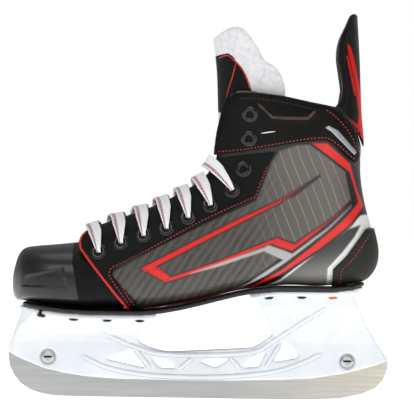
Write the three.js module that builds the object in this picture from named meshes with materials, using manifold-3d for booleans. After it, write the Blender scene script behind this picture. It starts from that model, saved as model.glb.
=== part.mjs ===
// A laced ice skate for the left foot, in millimetres.
// The toe points to -X, the outer (lateral) side of the foot is -Y, +Z is up,
// and the origin is under the middle of the runner, on the ice.

import * as THREE from 'three';
import { mergeVertices } from 'three/addons/utils/BufferGeometryUtils.js';
import Module from 'manifold-3d';

const wasm = await Module();
wasm.setup();

// ---------------------------------------------------------------- sizes

const GAP = 0.3;
const WIDE = 70; // reaches past both sides of the boot
const SIDES = { lateral: -1, medial: 1 };

const OUTSOLE_THICK = 3;
const OVERLAY_THICK = 2;
const SHELL_DEPTH = OVERLAY_THICK + GAP; // the quarters lie under the overlays
const SHELL_THICK = 3;
const LINER_THICK = 3;
const FOOTBED_THICK = 4;
const FOOTBED_INSET = 9;
const TOE_CAP_THICK = 2.8;

const RUNNER_THICK = 3;
const FLANGE_THICK = 3.5;
const RAIL_HALF = 5.5;

const SCREW_PLACES = { front: [-111.2, 29], rear: [109.7, 29] };
const SCREW_HEAD_R = 4.8;
const SCREW_SHANK_R = 2.4;

const RIVET_ROWS = { front: [-115.7, -92, -67.5, -43.5], rear: [51, 75, 98] };
const RIVET_FROM_MIDDLE = { front: 24, rear: 19 };
const RIVET_HEAD_R = 4;
const RIVET_SHANK_R = 1.8;

const EYELET_HOLE_R = 2.4;
const EYELET_BARREL_R = 3.2;
const EYELET_FLANGE_R = 6;
const EYELET_FLANGE_THICK = 0.9;
const EYELET_LIFT = 0.5; // keeps the flat flange off the curved leather
const EYELET_PLACES = [
  [-74, 107.5], [-57.5, 114], [-41.5, 120], [-25, 125.5], [-9, 133.5],
  [7, 143], [22.5, 154], [30.5, 169.5], [34.5, 191.5], [35, 209.5],
];
const LACED_PAIRS = 7;

const LACE_WIDE = 7.5;
const LACE_NARROW = 3.2;
const LACE_THICK = 1.2;
const LACE_OVER_EDGE = 3.4; // heights of the lace over the boot's surface
const LACE_OVER_FACING = 3.6;
const LACE_OVER_EYELET = 2.9;
const LACE_IN_EYELET = -2;
const LACE_UNDER_EYELET = -7.6;
const LACE_UNDER_LINER = -8;
const LACE_UNDER_THROAT = -4.4;
const LACE_FROM_THROAT = 7.8; // how far inside the facing's edge it comes up
const BAR_HEIGHTS = { '-1': 0.4, 1: 2.6 }; // the two halves cross at these heights
const FIRST_BAR_HEIGHT = 1.6;
const EDGE_ROUND = 0.985; // just beside the facing's edge

// ---------------------------------------------------------------- solids

function solidOf(geometry) {
  const bare = geometry.clone();
  bare.deleteAttribute('normal');
  bare.deleteAttribute('uv');
  const merged = mergeVertices(bare, 1e-4);
  const vertProperties = Float32Array.from(merged.attributes.position.array);
  const triVerts = Uint32Array.from(merged.index.array);
  return new wasm.Manifold(new wasm.Mesh({ numProp: 3, vertProperties, triVerts }));
}

function geometryOf(solid) {
  const mesh = solid.getMesh();
  const geometry = new THREE.BufferGeometry();
  geometry.setAttribute('position', new THREE.BufferAttribute(mesh.vertProperties, 3));
  geometry.setIndex(new THREE.BufferAttribute(mesh.triVerts, 1));
  return geometry;
}

// A closed outline of [a, b] corners; a third number rounds that corner.
function outline(corners) {
  const shape = new THREE.Shape();
  const at = corners.map(([a, b]) => new THREE.Vector2(a, b));
  corners.forEach(([a, b, round = 0], i) => {
    const before = at[(i + corners.length - 1) % corners.length];
    const after = at[(i + 1) % corners.length];
    const cut = Math.min(round, 0.45 * at[i].distanceTo(before), 0.45 * at[i].distanceTo(after));
    const arrive = at[i].clone().add(before.clone().sub(at[i]).setLength(cut));
    const leave = at[i].clone().add(after.clone().sub(at[i]).setLength(cut));
    if (i === 0) shape.moveTo(arrive.x, arrive.y);
    else shape.lineTo(arrive.x, arrive.y);
    if (round > 0) shape.quadraticCurveTo(a, b, leave.x, leave.y);
  });
  return shape;
}

const EXTRUSION = { bevelEnabled: false, curveSegments: 2 };

// Side-view outline of [x, z] corners, solid from y = from to y = to.
function acrossY(shape, from = -WIDE, to = WIDE) {
  const geometry = new THREE.ExtrudeGeometry(shape, { ...EXTRUSION, depth: to - from });
  return solidOf(geometry.rotateX(Math.PI / 2).translate(0, to, 0));
}

// End-view outline of [y, z] corners, solid from x = from to x = to.
function alongX(shape, from, to) {
  const geometry = new THREE.ExtrudeGeometry(shape, { ...EXTRUSION, depth: to - from });
  const turn = new THREE.Matrix4().makeBasis(
    new THREE.Vector3(0, 1, 0), new THREE.Vector3(0, 0, 1), new THREE.Vector3(1, 0, 0));
  return solidOf(geometry.applyMatrix4(turn).translate(from, 0, 0));
}

// Plan outline of [x, y] corners, solid from z = from to z = to.
function upZ(shape, from, to) {
  const geometry = new THREE.ExtrudeGeometry(shape, { ...EXTRUSION, depth: to - from });
  return solidOf(geometry.translate(0, 0, from));
}

// The same outline with every edge moved outwards; a minus distance moves it in.
function grown(corners, distance) {
  const turning = Math.sign(THREE.ShapeUtils.area(corners.map(([x, y]) => new THREE.Vector2(x, y))));
  return corners.map(([x, y, round], i) => {
    const [x0, y0] = corners[(i + corners.length - 1) % corners.length];
    const [x1, y1] = corners[(i + 1) % corners.length];
    const into = new THREE.Vector2(x - x0, y - y0).normalize();
    const onward = new THREE.Vector2(x1 - x, y1 - y).normalize();
    const normal = new THREE.Vector2(into.y + onward.y, -into.x - onward.x).normalize();
    const miter = distance * turning / Math.max(0.4, normal.dot(new THREE.Vector2(into.y, -into.x)));
    return [x + normal.x * miter, y + normal.y * miter, round];
  });
}

// A round solid turned about the local axis, then moved to place and aimed.
function turned(profile, sides, place, aim) {
  const points = profile.map(([radius, height]) => new THREE.Vector2(radius, height));
  const geometry = new THREE.LatheGeometry([...points, points[0]], sides);
  const aimed = new THREE.Quaternion().setFromUnitVectors(new THREE.Vector3(0, 1, 0), aim);
  return solidOf(geometry.applyQuaternion(aimed).translate(place.x, place.y, place.z));
}

function plug(radius, from, to, sides, place, aim) {
  const profile = [[0, from], [radius, from], [radius, to], [0, to]];
  return turned(profile, sides, place, aim);
}

// ---------------------------------------------------------------- the sole line

const FOREFOOT_Z = 61.7;
const HEEL_RISE = 19;
const ARCH = [-45, 62];
const TOE_SHIFT = 4;
const FOREFOOT_REACH = 120;
const SOLE_STEP = 14;

const TOE_SPRING = { from: -85, over: 45, rise: 4.9, power: 1.6 };
const HEEL_LIFT = { from: 95, over: 26, rise: 4, power: 2 };

// Height of the outsole's underside at x: toe spring, flat forefoot, arch ramp and heel.
function smoothSole(x) {
  const ramp = HEEL_RISE * THREE.MathUtils.smoothstep(x, ...ARCH);
  const bend = (past, { over, rise, power }) => rise * Math.pow(Math.max(0, past / over), power);
  const toeSpring = bend(TOE_SPRING.from - x, TOE_SPRING);
  const heelLift = bend(x - HEEL_LIFT.from, HEEL_LIFT);
  return FOREFOOT_Z + ramp + toeSpring + heelLift;
}

// The same line in straight stretches, so that pieces laid along it keep their gaps.
function soleLine(x) {
  const start = Math.floor(x / SOLE_STEP) * SOLE_STEP;
  return THREE.MathUtils.lerp(smoothSole(start), smoothSole(start + SOLE_STEP), (x - start) / SOLE_STEP);
}

function soleXs(from, to) {
  const first = Math.floor(from / SOLE_STEP) + 1;
  const count = Math.ceil(to / SOLE_STEP) - first;
  return [from, ...Array.from({ length: count }, (_, i) => (first + i) * SOLE_STEP), to];
}

// A left foot's toes lean to the other foot.
function sideShift(x) {
  return TOE_SHIFT * THREE.MathUtils.smoothstep(-x, 0, FOREFOOT_REACH);
}

// The slab between two heights above the sole line, from one x to another.
function soleSlab(low, high, from, to) {
  const xs = soleXs(from, to);
  const under = xs.map((x) => [x, soleLine(x) + low]);
  const over = xs.map((x) => [x, soleLine(x) + high]).reverse();
  return acrossY(outline([...under, ...over]));
}

// A plan outline through [x, half width] points, leaning with the toes.
function soleOutline(halfWidths, inset) {
  const inner = halfWidths.map(([x, half]) => [x, half - inset]);
  const medial = inner.map(([x, half]) => new THREE.Vector2(x, sideShift(x) + half));
  const lateral = inner.map(([x, half]) => new THREE.Vector2(x, sideShift(x) - half)).reverse();
  const shape = new THREE.Shape();
  shape.moveTo(medial[0].x, medial[0].y);
  shape.splineThru(medial.slice(1));
  shape.lineTo(lateral[0].x, lateral[0].y);
  shape.splineThru(lateral.slice(1));
  return shape;
}

const SOLE_ENDS = [-131, 122];
const SOLE_HALF_WIDTHS = [
  [-130, 15], [-125, 27], [-113, 37], [-93, 43], [-65, 44.5], [-35, 41],
  [0, 34], [35, 29], [70, 29], [98, 27], [114, 20], [121, 10],
];

// ---------------------------------------------------------------- the boot's surface

// Base points that put the quarters, and the toe cap, just above the outsole.
const SOLE_TOP = OUTSOLE_THICK + 3 * GAP;
const onSole = (x) => [x, soleLine(x) + SOLE_TOP - SHELL_DEPTH];
const capOnSole = (x) => [x, soleLine(x) + SOLE_TOP];

// Each cross-section runs from a base point, under the foot or behind the heel, to a crest
// point, on top of the foot or at the shin. wide is the half width, throat the half gap
// between the facings, widest where along the section it is widest, and the two powers say
// how square its lower and upper corners are.
const BOOT_SECTIONS = [
  { base: onSole(-91), crest: [-91, 119.5], wide: 48.5, throat: 14, widest: 0.42, powers: [3.4, 2.1] },
  { base: onSole(-76), crest: [-70.5, 128.4], wide: 49.3, throat: 16, widest: 0.42, powers: [3.4, 2.1] },
  { base: onSole(-44), crest: [-36.1, 140.9], wide: 48, throat: 18, widest: 0.4, powers: [3.4, 2.1] },
  { base: onSole(-8), crest: [-9.5, 154.7], wide: 44, throat: 20, widest: 0.4, powers: [3.2, 2.1] },
  { base: onSole(30), crest: [4.5, 166], wide: 39.5, throat: 21.5, widest: 0.42, powers: [3, 2.1] },
  { base: onSole(62), crest: [8.2, 177], wide: 37.5, throat: 22.5, widest: 0.42, powers: [3, 2.1] },
  { base: onSole(92), crest: [9, 185], wide: 36.5, throat: 23.5, widest: 0.42, powers: [2.8, 2.1] },
  { base: [118, 87], crest: [10, 194], wide: 36.5, throat: 24, widest: 0.42, powers: [2.4, 2.1] },
  { base: [129, 96.5], crest: [11.3, 201], wide: 37, throat: 24, widest: 0.43, powers: [2.2, 2.1] },
  { base: [131.8, 111], crest: [12.6, 207], wide: 37.5, throat: 24, widest: 0.44, powers: [2.2, 2.2] },
  { base: [127.5, 130], crest: [14, 213.5], wide: 38.5, throat: 24, widest: 0.45, powers: [2.2, 2.2] },
  { base: [122.5, 149], crest: [15.8, 219], wide: 39.5, throat: 24, widest: 0.46, powers: [2.2, 2.3] },
  { base: [119.6, 168], crest: [18.4, 224], wide: 40.5, throat: 24, widest: 0.47, powers: [2.2, 2.4] },
  { base: [119.6, 190], crest: [21, 232], wide: 40.5, throat: 24, widest: 0.48, powers: [2.2, 2.4] },
  { base: [117.4, 215], crest: [22, 246], wide: 38, throat: 24, widest: 0.48, powers: [2.2, 2.4] },
  { base: [115.6, 252], crest: [23, 270], wide: 35, throat: 24, widest: 0.48, powers: [2.2, 2.4] },
  { base: [113.2, 287], crest: [24, 290], wide: 31, throat: 24, widest: 0.48, powers: [2.2, 2.4] },
];
const BOOT_TOP_SECTION = 14;
const GUARD_FIRST_SECTION = 12;

const TOE_SECTIONS = [
  { base: [-138, 78], crest: [-138, 89], wide: 7, throat: 0, widest: 0.45, powers: [2.6, 2.4] },
  { base: [-136.8, 73.5], crest: [-136.6, 95.5], wide: 16, throat: 0, widest: 0.45, powers: [2.8, 2.4] },
  { base: [-134, 70.6], crest: [-133.8, 104], wide: 25, throat: 0, widest: 0.44, powers: [3, 2.5] },
  { base: capOnSole(-129), crest: [-129, 109], wide: 34, throat: 0, widest: 0.42, powers: [3.2, 2.6] },
  { base: capOnSole(-119), crest: [-119, 110.8], wide: 41.5, throat: 0, widest: 0.42, powers: [3.3, 2.6] },
  { base: capOnSole(-106), crest: [-106, 112], wide: 46, throat: 0, widest: 0.42, powers: [3.4, 2.6] },
  { base: capOnSole(-90), crest: [-90, 113.8], wide: 48.6, throat: 0, widest: 0.42, powers: [3.4, 2.5] },
  { base: capOnSole(-70), crest: [-70, 116], wide: 49.2, throat: 0, widest: 0.42, powers: [3.4, 2.4] },
  { base: capOnSole(-46), crest: [-46, 120], wide: 48.2, throat: 0, widest: 0.42, powers: [3.4, 2.4] },
];

// A smooth surface through the sections. along runs over the sections by number, and round
// runs from -1 at the lateral crest, through 0 at the base, to 1 at the medial crest.
function surfaceThrough(sections) {
  const smooth = (list) => new THREE.CatmullRomCurve3(
    list.map((values) => new THREE.Vector3(...values)), false, 'catmullrom', 0.5);
  const bases = smooth(sections.map(({ base: [x, z] }) => [x, sideShift(x), z]));
  const crests = smooth(sections.map(({ base, crest: [x, z] }) => [x, sideShift(base[0]), z]));
  const sizes = smooth(sections.map(({ wide, throat, widest }) => [wide, throat, widest]));
  const powers = smooth(sections.map((section) => [...section.powers, 0]));

  function point(along, round) {
    const t = along / (sections.length - 1);
    const base = bases.getPoint(t);
    const crest = crests.getPoint(t);
    const { x: wide, y: throat, z: widest } = sizes.getPoint(t);
    const { x: low, y: high } = powers.getPoint(t);
    const part = Math.abs(round);
    let across;
    let height;
    if (part < 0.5) {
      across = wide * Math.pow(Math.sin(part * Math.PI), 2 / low);
      height = widest * (1 - Math.pow(Math.cos(part * Math.PI), 2 / low));
    } else {
      const turn = (part - 0.5) * Math.PI;
      across = throat + (wide - throat) * Math.pow(Math.max(0, Math.cos(turn)), 2 / high);
      height = widest + (1 - widest) * Math.pow(Math.sin(turn), 2 / high);
    }
    const place = new THREE.Vector3().lerpVectors(base, crest, height);
    place.y = base.y + Math.sign(round) * across;
    return place;
  }

  function normal(along, round) {
    const step = 1e-3;
    const last = sections.length - 1;
    const ahead = point(Math.min(last, along + step), round).sub(point(Math.max(0, along - step), round));
    const a = Math.max(-1, round - step);
    const b = Math.min(1, round + step);
    const around = point(along, b).sub(point(along, a));
    return around.cross(ahead).normalize();
  }

  return { point, normal };
}

// A grid of points along and round a surface, at one depth under it.
function gridAt(surface, alongs, rounds, depth) {
  return alongs.map((along) => rounds.map((round) =>
    surface.point(along, round).addScaledVector(surface.normal(along, round), -depth)));
}

function evenly(from, to, steps) {
  return Array.from({ length: steps + 1 }, (_, i) => from + (to - from) * i / steps);
}

// A closed solid from rows of points: a face on each side and a rim all round.
function between(outer, inner) {
  const rows = outer.length;
  const columns = outer[0].length;
  const points = [...outer.flat(), ...inner.flat()];
  const index = [];
  const quad = (a, b, c, d) => index.push(a, c, b, a, d, c);
  const out = (i, j) => i * columns + j;
  const ins = (i, j) => rows * columns + i * columns + j;
  for (let i = 0; i + 1 < rows; i++) {
    for (let j = 0; j + 1 < columns; j++) {
      quad(out(i, j), out(i + 1, j), out(i + 1, j + 1), out(i, j + 1));
      quad(ins(i, j), ins(i, j + 1), ins(i + 1, j + 1), ins(i + 1, j));
    }
    quad(out(i, 0), ins(i, 0), ins(i + 1, 0), out(i + 1, 0));
    quad(out(i, columns - 1), out(i + 1, columns - 1), ins(i + 1, columns - 1), ins(i, columns - 1));
  }
  for (let j = 0; j + 1 < columns; j++) {
    quad(out(0, j), out(0, j + 1), ins(0, j + 1), ins(0, j));
    quad(out(rows - 1, j), ins(rows - 1, j), ins(rows - 1, j + 1), out(rows - 1, j + 1));
  }
  const geometry = new THREE.BufferGeometry().setFromPoints(points);
  geometry.setIndex(index);
  return solidOf(geometry);
}

function sheet(surface, alongs, rounds, outerDepth, innerDepth) {
  return between(
    gridAt(surface, alongs, rounds, outerDepth),
    gridAt(surface, alongs, rounds, innerDepth));
}

const boot = surfaceThrough(BOOT_SECTIONS);
const toe = surfaceThrough(TOE_SECTIONS);
const BOOT_ALONGS = evenly(0, BOOT_TOP_SECTION, 14);
const ALL_ROUND = evenly(-1, 1, 14);

function bootLayer(outerDepth, innerDepth, rounds = ALL_ROUND) {
  return sheet(boot, BOOT_ALONGS, rounds, outerDepth, innerDepth);
}

// Where the boot's surface is seen at [x, z] from the side, as { along, round }.
function seenAt([x, z], side) {
  let best = { along: 5, round: 0.8, miss: Infinity };
  for (let reach = 6; reach > 0.002; reach *= 0.5) {
    const { along: a0, round: r0 } = best;
    for (const a of evenly(-1, 1, 10)) {
      for (const r of evenly(-1, 1, 10)) {
        const along = THREE.MathUtils.clamp(a0 + a * reach, 0, BOOT_TOP_SECTION);
        const round = THREE.MathUtils.clamp(r0 + r * reach * 0.05, 0.5, 1);
        const place = boot.point(along, round);
        const miss = Math.hypot(place.x - x, place.z - z);
        if (miss < best.miss) best = { along, round, miss };
      }
    }
  }
  return { along: best.along, round: side * best.round };
}

// ---------------------------------------------------------------- side-view outlines

// Outlines are [x, z] corners of the seen side; a third number rounds the corner.
const TOE_CAP_EDGE = [[-93, 130], [-93, 98.5], [-91.5, 92], [-88.5, 74], [-86.5, 60]];
const PIPING_LINE = [[-83, 125], [-87.5, 118, 3], [-88.5, 111.5, 3], [-83, 103], [-62, 77], [-48, 60]];

const CAP_REGION = [[-145, 60], [-145, 130], ...TOE_CAP_EDGE];
const VAMP_REGION = [...TOE_CAP_EDGE, ...[...PIPING_LINE].reverse()];
const COLLAR_LINE = [
  [18.5, 224.5], [28, 225.5], [38.5, 225.5], [58.5, 223.5], [79, 219], [96.5, 216],
  [107, 206.5], [114.5, 196.5], [117.5, 187], [119, 180.5], [117, 180.5], [117, 177],
  [124, 176],
];
const BOOT_REGION = [
  ...PIPING_LINE, [140, 60], [140, 176.2], ...[...COLLAR_LINE].reverse(), [10, 235], [-20, 235],
];
const FACING_REGION = [
  ...PIPING_LINE, [-45, 69], [-58, 84], [-64.5, 91, 3], [-60, 99, 3], [-22, 117], [36, 146.5],
  [40.5, 150, 2], [44, 160], [49, 173.5], [53.5, 182], [29, 179.5], [4, 176], [-20, 176],
];
const CUFF_REGION = [
  [0, 179], [12, 180.5], [29, 182], [49, 185.5], [69, 189], [84, 191, 3], [92.5, 191, 3],
  [99.5, 186.5], [109.5, 177.5], [114.5, 175.5], [116, 180], [114, 189], [112, 196], [105, 205.5],
  [95, 213.5], [79, 217], [58.5, 221], [38.5, 223], [28, 223], [19, 222.5], [10, 235],
];
const HEEL_PATCH_REGION = [
  [97, 70], [97.5, 96.5], [107, 106], [115, 118], [121.5, 126.5], [140, 130.5], [140, 70],
];
const LINER_REGION = [
  [-80, 60], [-80, 92], [-60, 99], [-22, 114], [10, 128], [34, 144], [43, 154], [49, 173],
  [50, 196], [48, 223], [58.5, 222], [79, 217.5], [95.5, 214.5], [105.5, 205], [113, 195.5],
  [116, 187], [116, 176], [140, 176], [140, 60],
];
const GUARD_REGION = [
  [98, 216.5], [101, 220], [102.5, 230], [101, 240], [99, 255], [100.5, 267],
  [106, 279.5], [108, 284, 2], [110.5, 285, 1], [114.5, 284.5, 2], [135, 250], [135, 182],
  [120.5, 182], [119, 188], [115.5, 197.5], [108, 207.5],
];

const halves = Object.fromEntries(Object.entries(SIDES).map(([name, side]) => [
  name,
  acrossY(outline([[-160, 40], [160, 40], [160, 300], [-160, 300]]),
    side < 0 ? -WIDE : GAP / 2, side < 0 ? -GAP / 2 : WIDE),
]));

// ---------------------------------------------------------------- runner and holder

const RUNNER_BOTTOM = [
  [-140.5, 31.5], [-139.5, 22.5], [-136.5, 16], [-131.5, 9.5], [-124, 4.5], [-116, 2],
  [-107, 0.5], [-90, 0], [-70, 0], [60, 0], [88, 0.5], [105, 1.5], [121, 5], [131, 9.5],
  [136.5, 15.5], [139, 22], [140, 29],
];
const HOLDER_BOTTOM = [
  [-140.5, 32], [-130.5, 27], [-114, 20.5], [-100, 17.5], [-84, 15], [-60, 13.5], [-5, 13],
  [30, 13.5], [61, 14.5], [84, 16], [106, 19.5], [125, 24.5], [140, 29.5],
];
const RUNNER_IN_SLOT = [
  [136, 33], [121, 30], [116.5, 36.5, 4], [103, 36.5, 4], [97, 26.5], [60, 22], [-5, 20.5],
  [-60, 21], [-98, 25.5], [-104.5, 36.5, 4], [-118, 36.5, 4], [-123.5, 31.5], [-138, 34.5],
];
const RUNNER_OUTLINE = [...RUNNER_BOTTOM, ...RUNNER_IN_SLOT];

const HOLDER_SIDE = [
  ...HOLDER_BOTTOM, [123, 56], [114, 75], [119.5, 83.5],
  ...soleXs(38, 118).reverse().map((x) => [x, soleLine(x) - GAP]),
  [41.5, 73.5, 2], [45, 70], [50.5, 57.5], [54.5, 47.5, 2], [41, 38, 3], [2, 35.5],
  [-23.5, 34, 3], [-35.5, 37], [-45.5, 41.5, 3], [-39, 57.5], [-32, 59.5],
  ...soleXs(-131, -33).reverse().map((x) => [x, soleLine(x) - GAP]),
  [-130.5, 63], [-140.5, 36.5],
];
const WINDOWS = [
  [[-69, 28], [-49.5, 35.5, 2], [-47, 35, 2], [-39, 23.5, 2], [-41, 22, 2], [-55, 25]],
  [[-34.5, 29], [-32, 31, 2], [-16.5, 24, 2], [-17.5, 21.5, 2], [-29, 22, 2]],
  [[-1, 28, 1], [22.5, 30, 1], [21, 27.5], [13.5, 23, 2], [10, 23.5, 2]],
  [[32, 25], [48.5, 37, 2], [49.5, 35, 2], [44.5, 23.5, 2], [33, 23, 2]],
  [[62, 42.5, 1], [64, 43, 1], [72.5, 36, 2], [74, 33, 2], [72.5, 30.5, 2], [56, 27.5, 2], [55, 29]],
];

// Half of the tower's end view: narrow at the rail, flaring to its flange.
function towerProfile(halfWidths) {
  const right = halfWidths.map(([half, z]) => [half, z]);
  const left = halfWidths.map(([half, z]) => [-half, z]).reverse();
  return outline([...right, ...left]);
}
const FRONT_TOWER = [[RAIL_HALF, 0], [RAIL_HALF, 40], [7, 46], [10.5, 51], [15, 55], [18, 59], [18, 75]];
const REAR_TOWER = [[RAIL_HALF, 0], [RAIL_HALF, 42], [6.5, 52], [9, 62], [12, 69], [14, 76], [14, 90]];
const RAIL = [[RAIL_HALF, 0], [RAIL_HALF, 60]];

const HOLDER_PLAN = [
  [-141, 2.4], [-137, 4.5], [-128, 14], [-112, 26], [-95, 40], [110, 40], [121, 15], [132, 5.5], [140.5, 3.2],
];
const FLANGE_PLANS = {
  front: [[-132.3, 8], [-128, 18], [-115, 28.5], [-90, 32.5], [-60, 32], [-38, 28], [-31.8, 18]],
  rear: [[37.2, 12], [44, 23], [60, 27], [90, 26.5], [108, 23.5], [120, 10]],
};

function mirroredPlan(halfWidths, shifted = false) {
  const shift = (x) => (shifted ? sideShift(x) : 0);
  const one = halfWidths.map(([x, half]) => [x, shift(x) + half]);
  const other = halfWidths.map(([x, half]) => [x, shift(x) - half]).reverse();
  return outline([...one, ...other]);
}

const ALONG_Y = new THREE.Vector3(0, 1, 0);
const TO_LATERAL = new THREE.Vector3(0, -1, 0);

const rivets = Object.entries(RIVET_ROWS).flatMap(([end, xs]) => xs.flatMap((x, row) =>
  Object.entries(SIDES).map(([sideName, side]) => {
    const slope = soleLine(x + 1) - soleLine(x - 1);
    const aim = new THREE.Vector3(-slope, 0, 2).normalize();
    const y = side * RIVET_FROM_MIDDLE[end] + sideShift(x) * 0.5;
    const place = new THREE.Vector3(x, y, soleLine(x) - GAP - FLANGE_THICK);
    return { name: `rivet_${end}_${sideName}_${row + 1}`, place, aim };
  })));

function rivetHole({ place, aim }) {
  return plug(RIVET_SHANK_R + GAP, -2, 12, 8, place, aim);
}

function makeRunner() {
  let solid = acrossY(outline(RUNNER_OUTLINE), -RUNNER_THICK / 2, RUNNER_THICK / 2);
  for (const [x, z] of Object.values(SCREW_PLACES)) {
    const place = new THREE.Vector3(x, 0, z);
    solid = solid.subtract(plug(SCREW_SHANK_R + 0.5, -5, 5, 16, place, ALONG_Y));
  }
  return solid;
}

const RECESS_R = 6;
const RECESS_DEPTH = 2.6;

function makeHolder() {
  const side = acrossY(outline(HOLDER_SIDE));
  const towers = side.intersect(alongX(towerProfile(FRONT_TOWER), -145, -30))
    .add(side.intersect(alongX(towerProfile(RAIL), -60, 60)))
    .add(side.intersect(alongX(towerProfile(REAR_TOWER), 36, 145)));
  const flange = (end, from, to) =>
    soleSlab(-GAP - FLANGE_THICK, -GAP, from, to).intersect(upZ(mirroredPlan(FLANGE_PLANS[end], true), 50, 95));
  let solid = towers.intersect(upZ(mirroredPlan(HOLDER_PLAN), -5, 100))
    .add(flange('front', -132.3, -31.8))
    .add(flange('rear', 37.2, 120));
  for (const window of WINDOWS) solid = solid.subtract(acrossY(outline(window)));
  const slot = acrossY(outline(grown(RUNNER_OUTLINE, GAP)), -RUNNER_THICK / 2 - GAP, RUNNER_THICK / 2 + GAP);
  solid = solid.subtract(slot);
  for (const [x, z] of Object.values(SCREW_PLACES)) {
    const place = new THREE.Vector3(x, 0, z);
    solid = solid.subtract(plug(SCREW_SHANK_R + 0.4, -10, 10, 16, place, ALONG_Y));
    solid = solid.subtract(plug(RECESS_R, RAIL_HALF - RECESS_DEPTH, WIDE, 20, place, ALONG_Y));
    solid = solid.subtract(plug(RECESS_R, RAIL_HALF - RECESS_DEPTH, WIDE, 20, place, TO_LATERAL));
  }
  for (const rivet of rivets) solid = solid.subtract(rivetHole(rivet));
  return solid;
}

const HEAD_THICK = 2.2;

// A button-head screw seen from its head, with a six-sided socket.
function makeScrew([x, z]) {
  const seat = RAIL_HALF - RECESS_DEPTH + GAP;
  const place = new THREE.Vector3(x, 0, z);
  const profile = [
    [0, -seat - HEAD_THICK], [SCREW_SHANK_R, -seat - HEAD_THICK], [SCREW_SHANK_R, seat],
    [SCREW_HEAD_R, seat], [SCREW_HEAD_R, seat + HEAD_THICK * 0.6], [SCREW_HEAD_R * 0.75, seat + HEAD_THICK],
    [0, seat + HEAD_THICK],
  ];
  const socket = plug(2, seat + HEAD_THICK * 0.3, seat + 10, 6, place, TO_LATERAL);
  return turned(profile, 16, place, TO_LATERAL).subtract(socket);
}

function makeNut([x, z]) {
  const seat = RAIL_HALF - RECESS_DEPTH + GAP;
  const hole = SCREW_SHANK_R + GAP;
  const profile = [
    [hole, seat], [SCREW_HEAD_R, seat], [SCREW_HEAD_R, seat + HEAD_THICK * 0.6],
    [SCREW_HEAD_R * 0.75, seat + HEAD_THICK], [hole, seat + HEAD_THICK],
  ];
  return turned(profile, 16, new THREE.Vector3(x, 0, z), ALONG_Y);
}

function makeRivet({ place, aim }) {
  const length = FLANGE_THICK + GAP + OUTSOLE_THICK - 0.2;
  const profile = [
    [0, -GAP - 1.6], [RIVET_HEAD_R * 0.6, -GAP - 1.6], [RIVET_HEAD_R, -GAP],
    [RIVET_SHANK_R, -GAP], [RIVET_SHANK_R, length], [0, length],
  ];
  return turned(profile, 8, place, aim);
}

// ---------------------------------------------------------------- sole, toe and uppers

function makeOutsole() {
  let solid = soleSlab(0, OUTSOLE_THICK, ...SOLE_ENDS)
    .intersect(upZ(soleOutline(SOLE_HALF_WIDTHS, 0), 50, 100));
  for (const rivet of rivets) solid = solid.subtract(rivetHole(rivet));
  return solid;
}

// A solid lofted over closed rings of points, with both ends closed.
function loft(rings) {
  const count = rings[0].length;
  const middle = (ring) => ring.reduce((sum, p) => sum.add(p), new THREE.Vector3()).divideScalar(count);
  const points = [...rings.flat(), middle(rings[0]), middle(rings[rings.length - 1])];
  const first = points.length - 2;
  const index = [];
  for (let j = 0; j < count; j++) {
    const next = (j + 1) % count;
    for (let i = 0; i + 1 < rings.length; i++) {
      const a = i * count + j;
      const b = i * count + next;
      index.push(a, a + count, b + count, a, b + count, b);
    }
    const end = (rings.length - 1) * count;
    index.push(first, j, next);
    index.push(first + 1, end + next, end + j);
  }
  const geometry = new THREE.BufferGeometry().setFromPoints(points);
  geometry.setIndex(index);
  return solidOf(geometry);
}

// Part of the toe's shell: open at the back, and at the front where the core reaches further.
function toeShell(from, to, steps, coreFrom, region) {
  const rounds = evenly(1, -1, 16).slice(0, -1);
  const skin = gridAt(toe, evenly(from, to, steps), rounds, 0);
  const core = gridAt(toe, evenly(coreFrom, to + 0.4, steps), rounds, TOE_CAP_THICK);
  return loft(skin).subtract(loft(core)).intersect(acrossY(outline(grown(region, -GAP / 2))));
}

const makeToeCap = () => toeShell(0, 7, 7, 0.9, CAP_REGION);
const makeVamp = () => toeShell(5, 7.6, 3, 4.5, VAMP_REGION);

const eyelets = Object.entries(SIDES).flatMap(([sideName, side]) => EYELET_PLACES.map((seen, i) => {
  const spot = seenAt(seen, side);
  const place = boot.point(spot.along, spot.round);
  const aim = boot.normal(spot.along, spot.round);
  const name = `eyelet_${sideName}_${String(i + 1).padStart(2, '0')}`;
  return { name, side, number: i, spot, place, aim };
}));

const overlayLayer = bootLayer(0, OVERLAY_THICK);
const overlayRegions = { facing: FACING_REGION, cuff: CUFF_REGION, heel_patch: HEEL_PATCH_REGION };
const bootSides = acrossY(outline(grown(BOOT_REGION, -GAP / 2)));
const soleClearance = soleSlab(-20, SOLE_TOP, -140, 135);

function withEyeletHoles(solid, sideName) {
  return eyelets.filter(({ side }) => side === SIDES[sideName]).reduce((cut, { place, aim }) =>
    cut.subtract(plug(EYELET_BARREL_R + GAP, -9, 9, 8, place, aim)), solid);
}

function makeOverlay(kind, sideName) {
  const region = acrossY(outline(grown(overlayRegions[kind], -GAP / 2)));
  const solid = overlayLayer.intersect(region).intersect(bootSides).intersect(halves[sideName]);
  return withEyeletHoles(solid.subtract(soleClearance), sideName);
}

function makeQuarter(sideName) {
  const solid = bootLayer(SHELL_DEPTH, SHELL_DEPTH + SHELL_THICK).intersect(bootSides);
  return withEyeletHoles(solid.intersect(halves[sideName]), sideName);
}

function makeLiner() {
  const depth = SHELL_DEPTH + SHELL_THICK + GAP;
  return bootLayer(depth, depth + LINER_THICK).intersect(acrossY(outline(LINER_REGION)));
}

function makeFootbed() {
  const low = SOLE_TOP + SHELL_THICK + LINER_THICK + 5 * GAP;
  return soleSlab(low, low + FOOTBED_THICK, -118, 106)
    .intersect(upZ(soleOutline(SOLE_HALF_WIDTHS, FOOTBED_INSET), 50, 120))
    .subtract(bootLayer(0, SHELL_DEPTH + SHELL_THICK + LINER_THICK + 3 * GAP));
}

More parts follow.
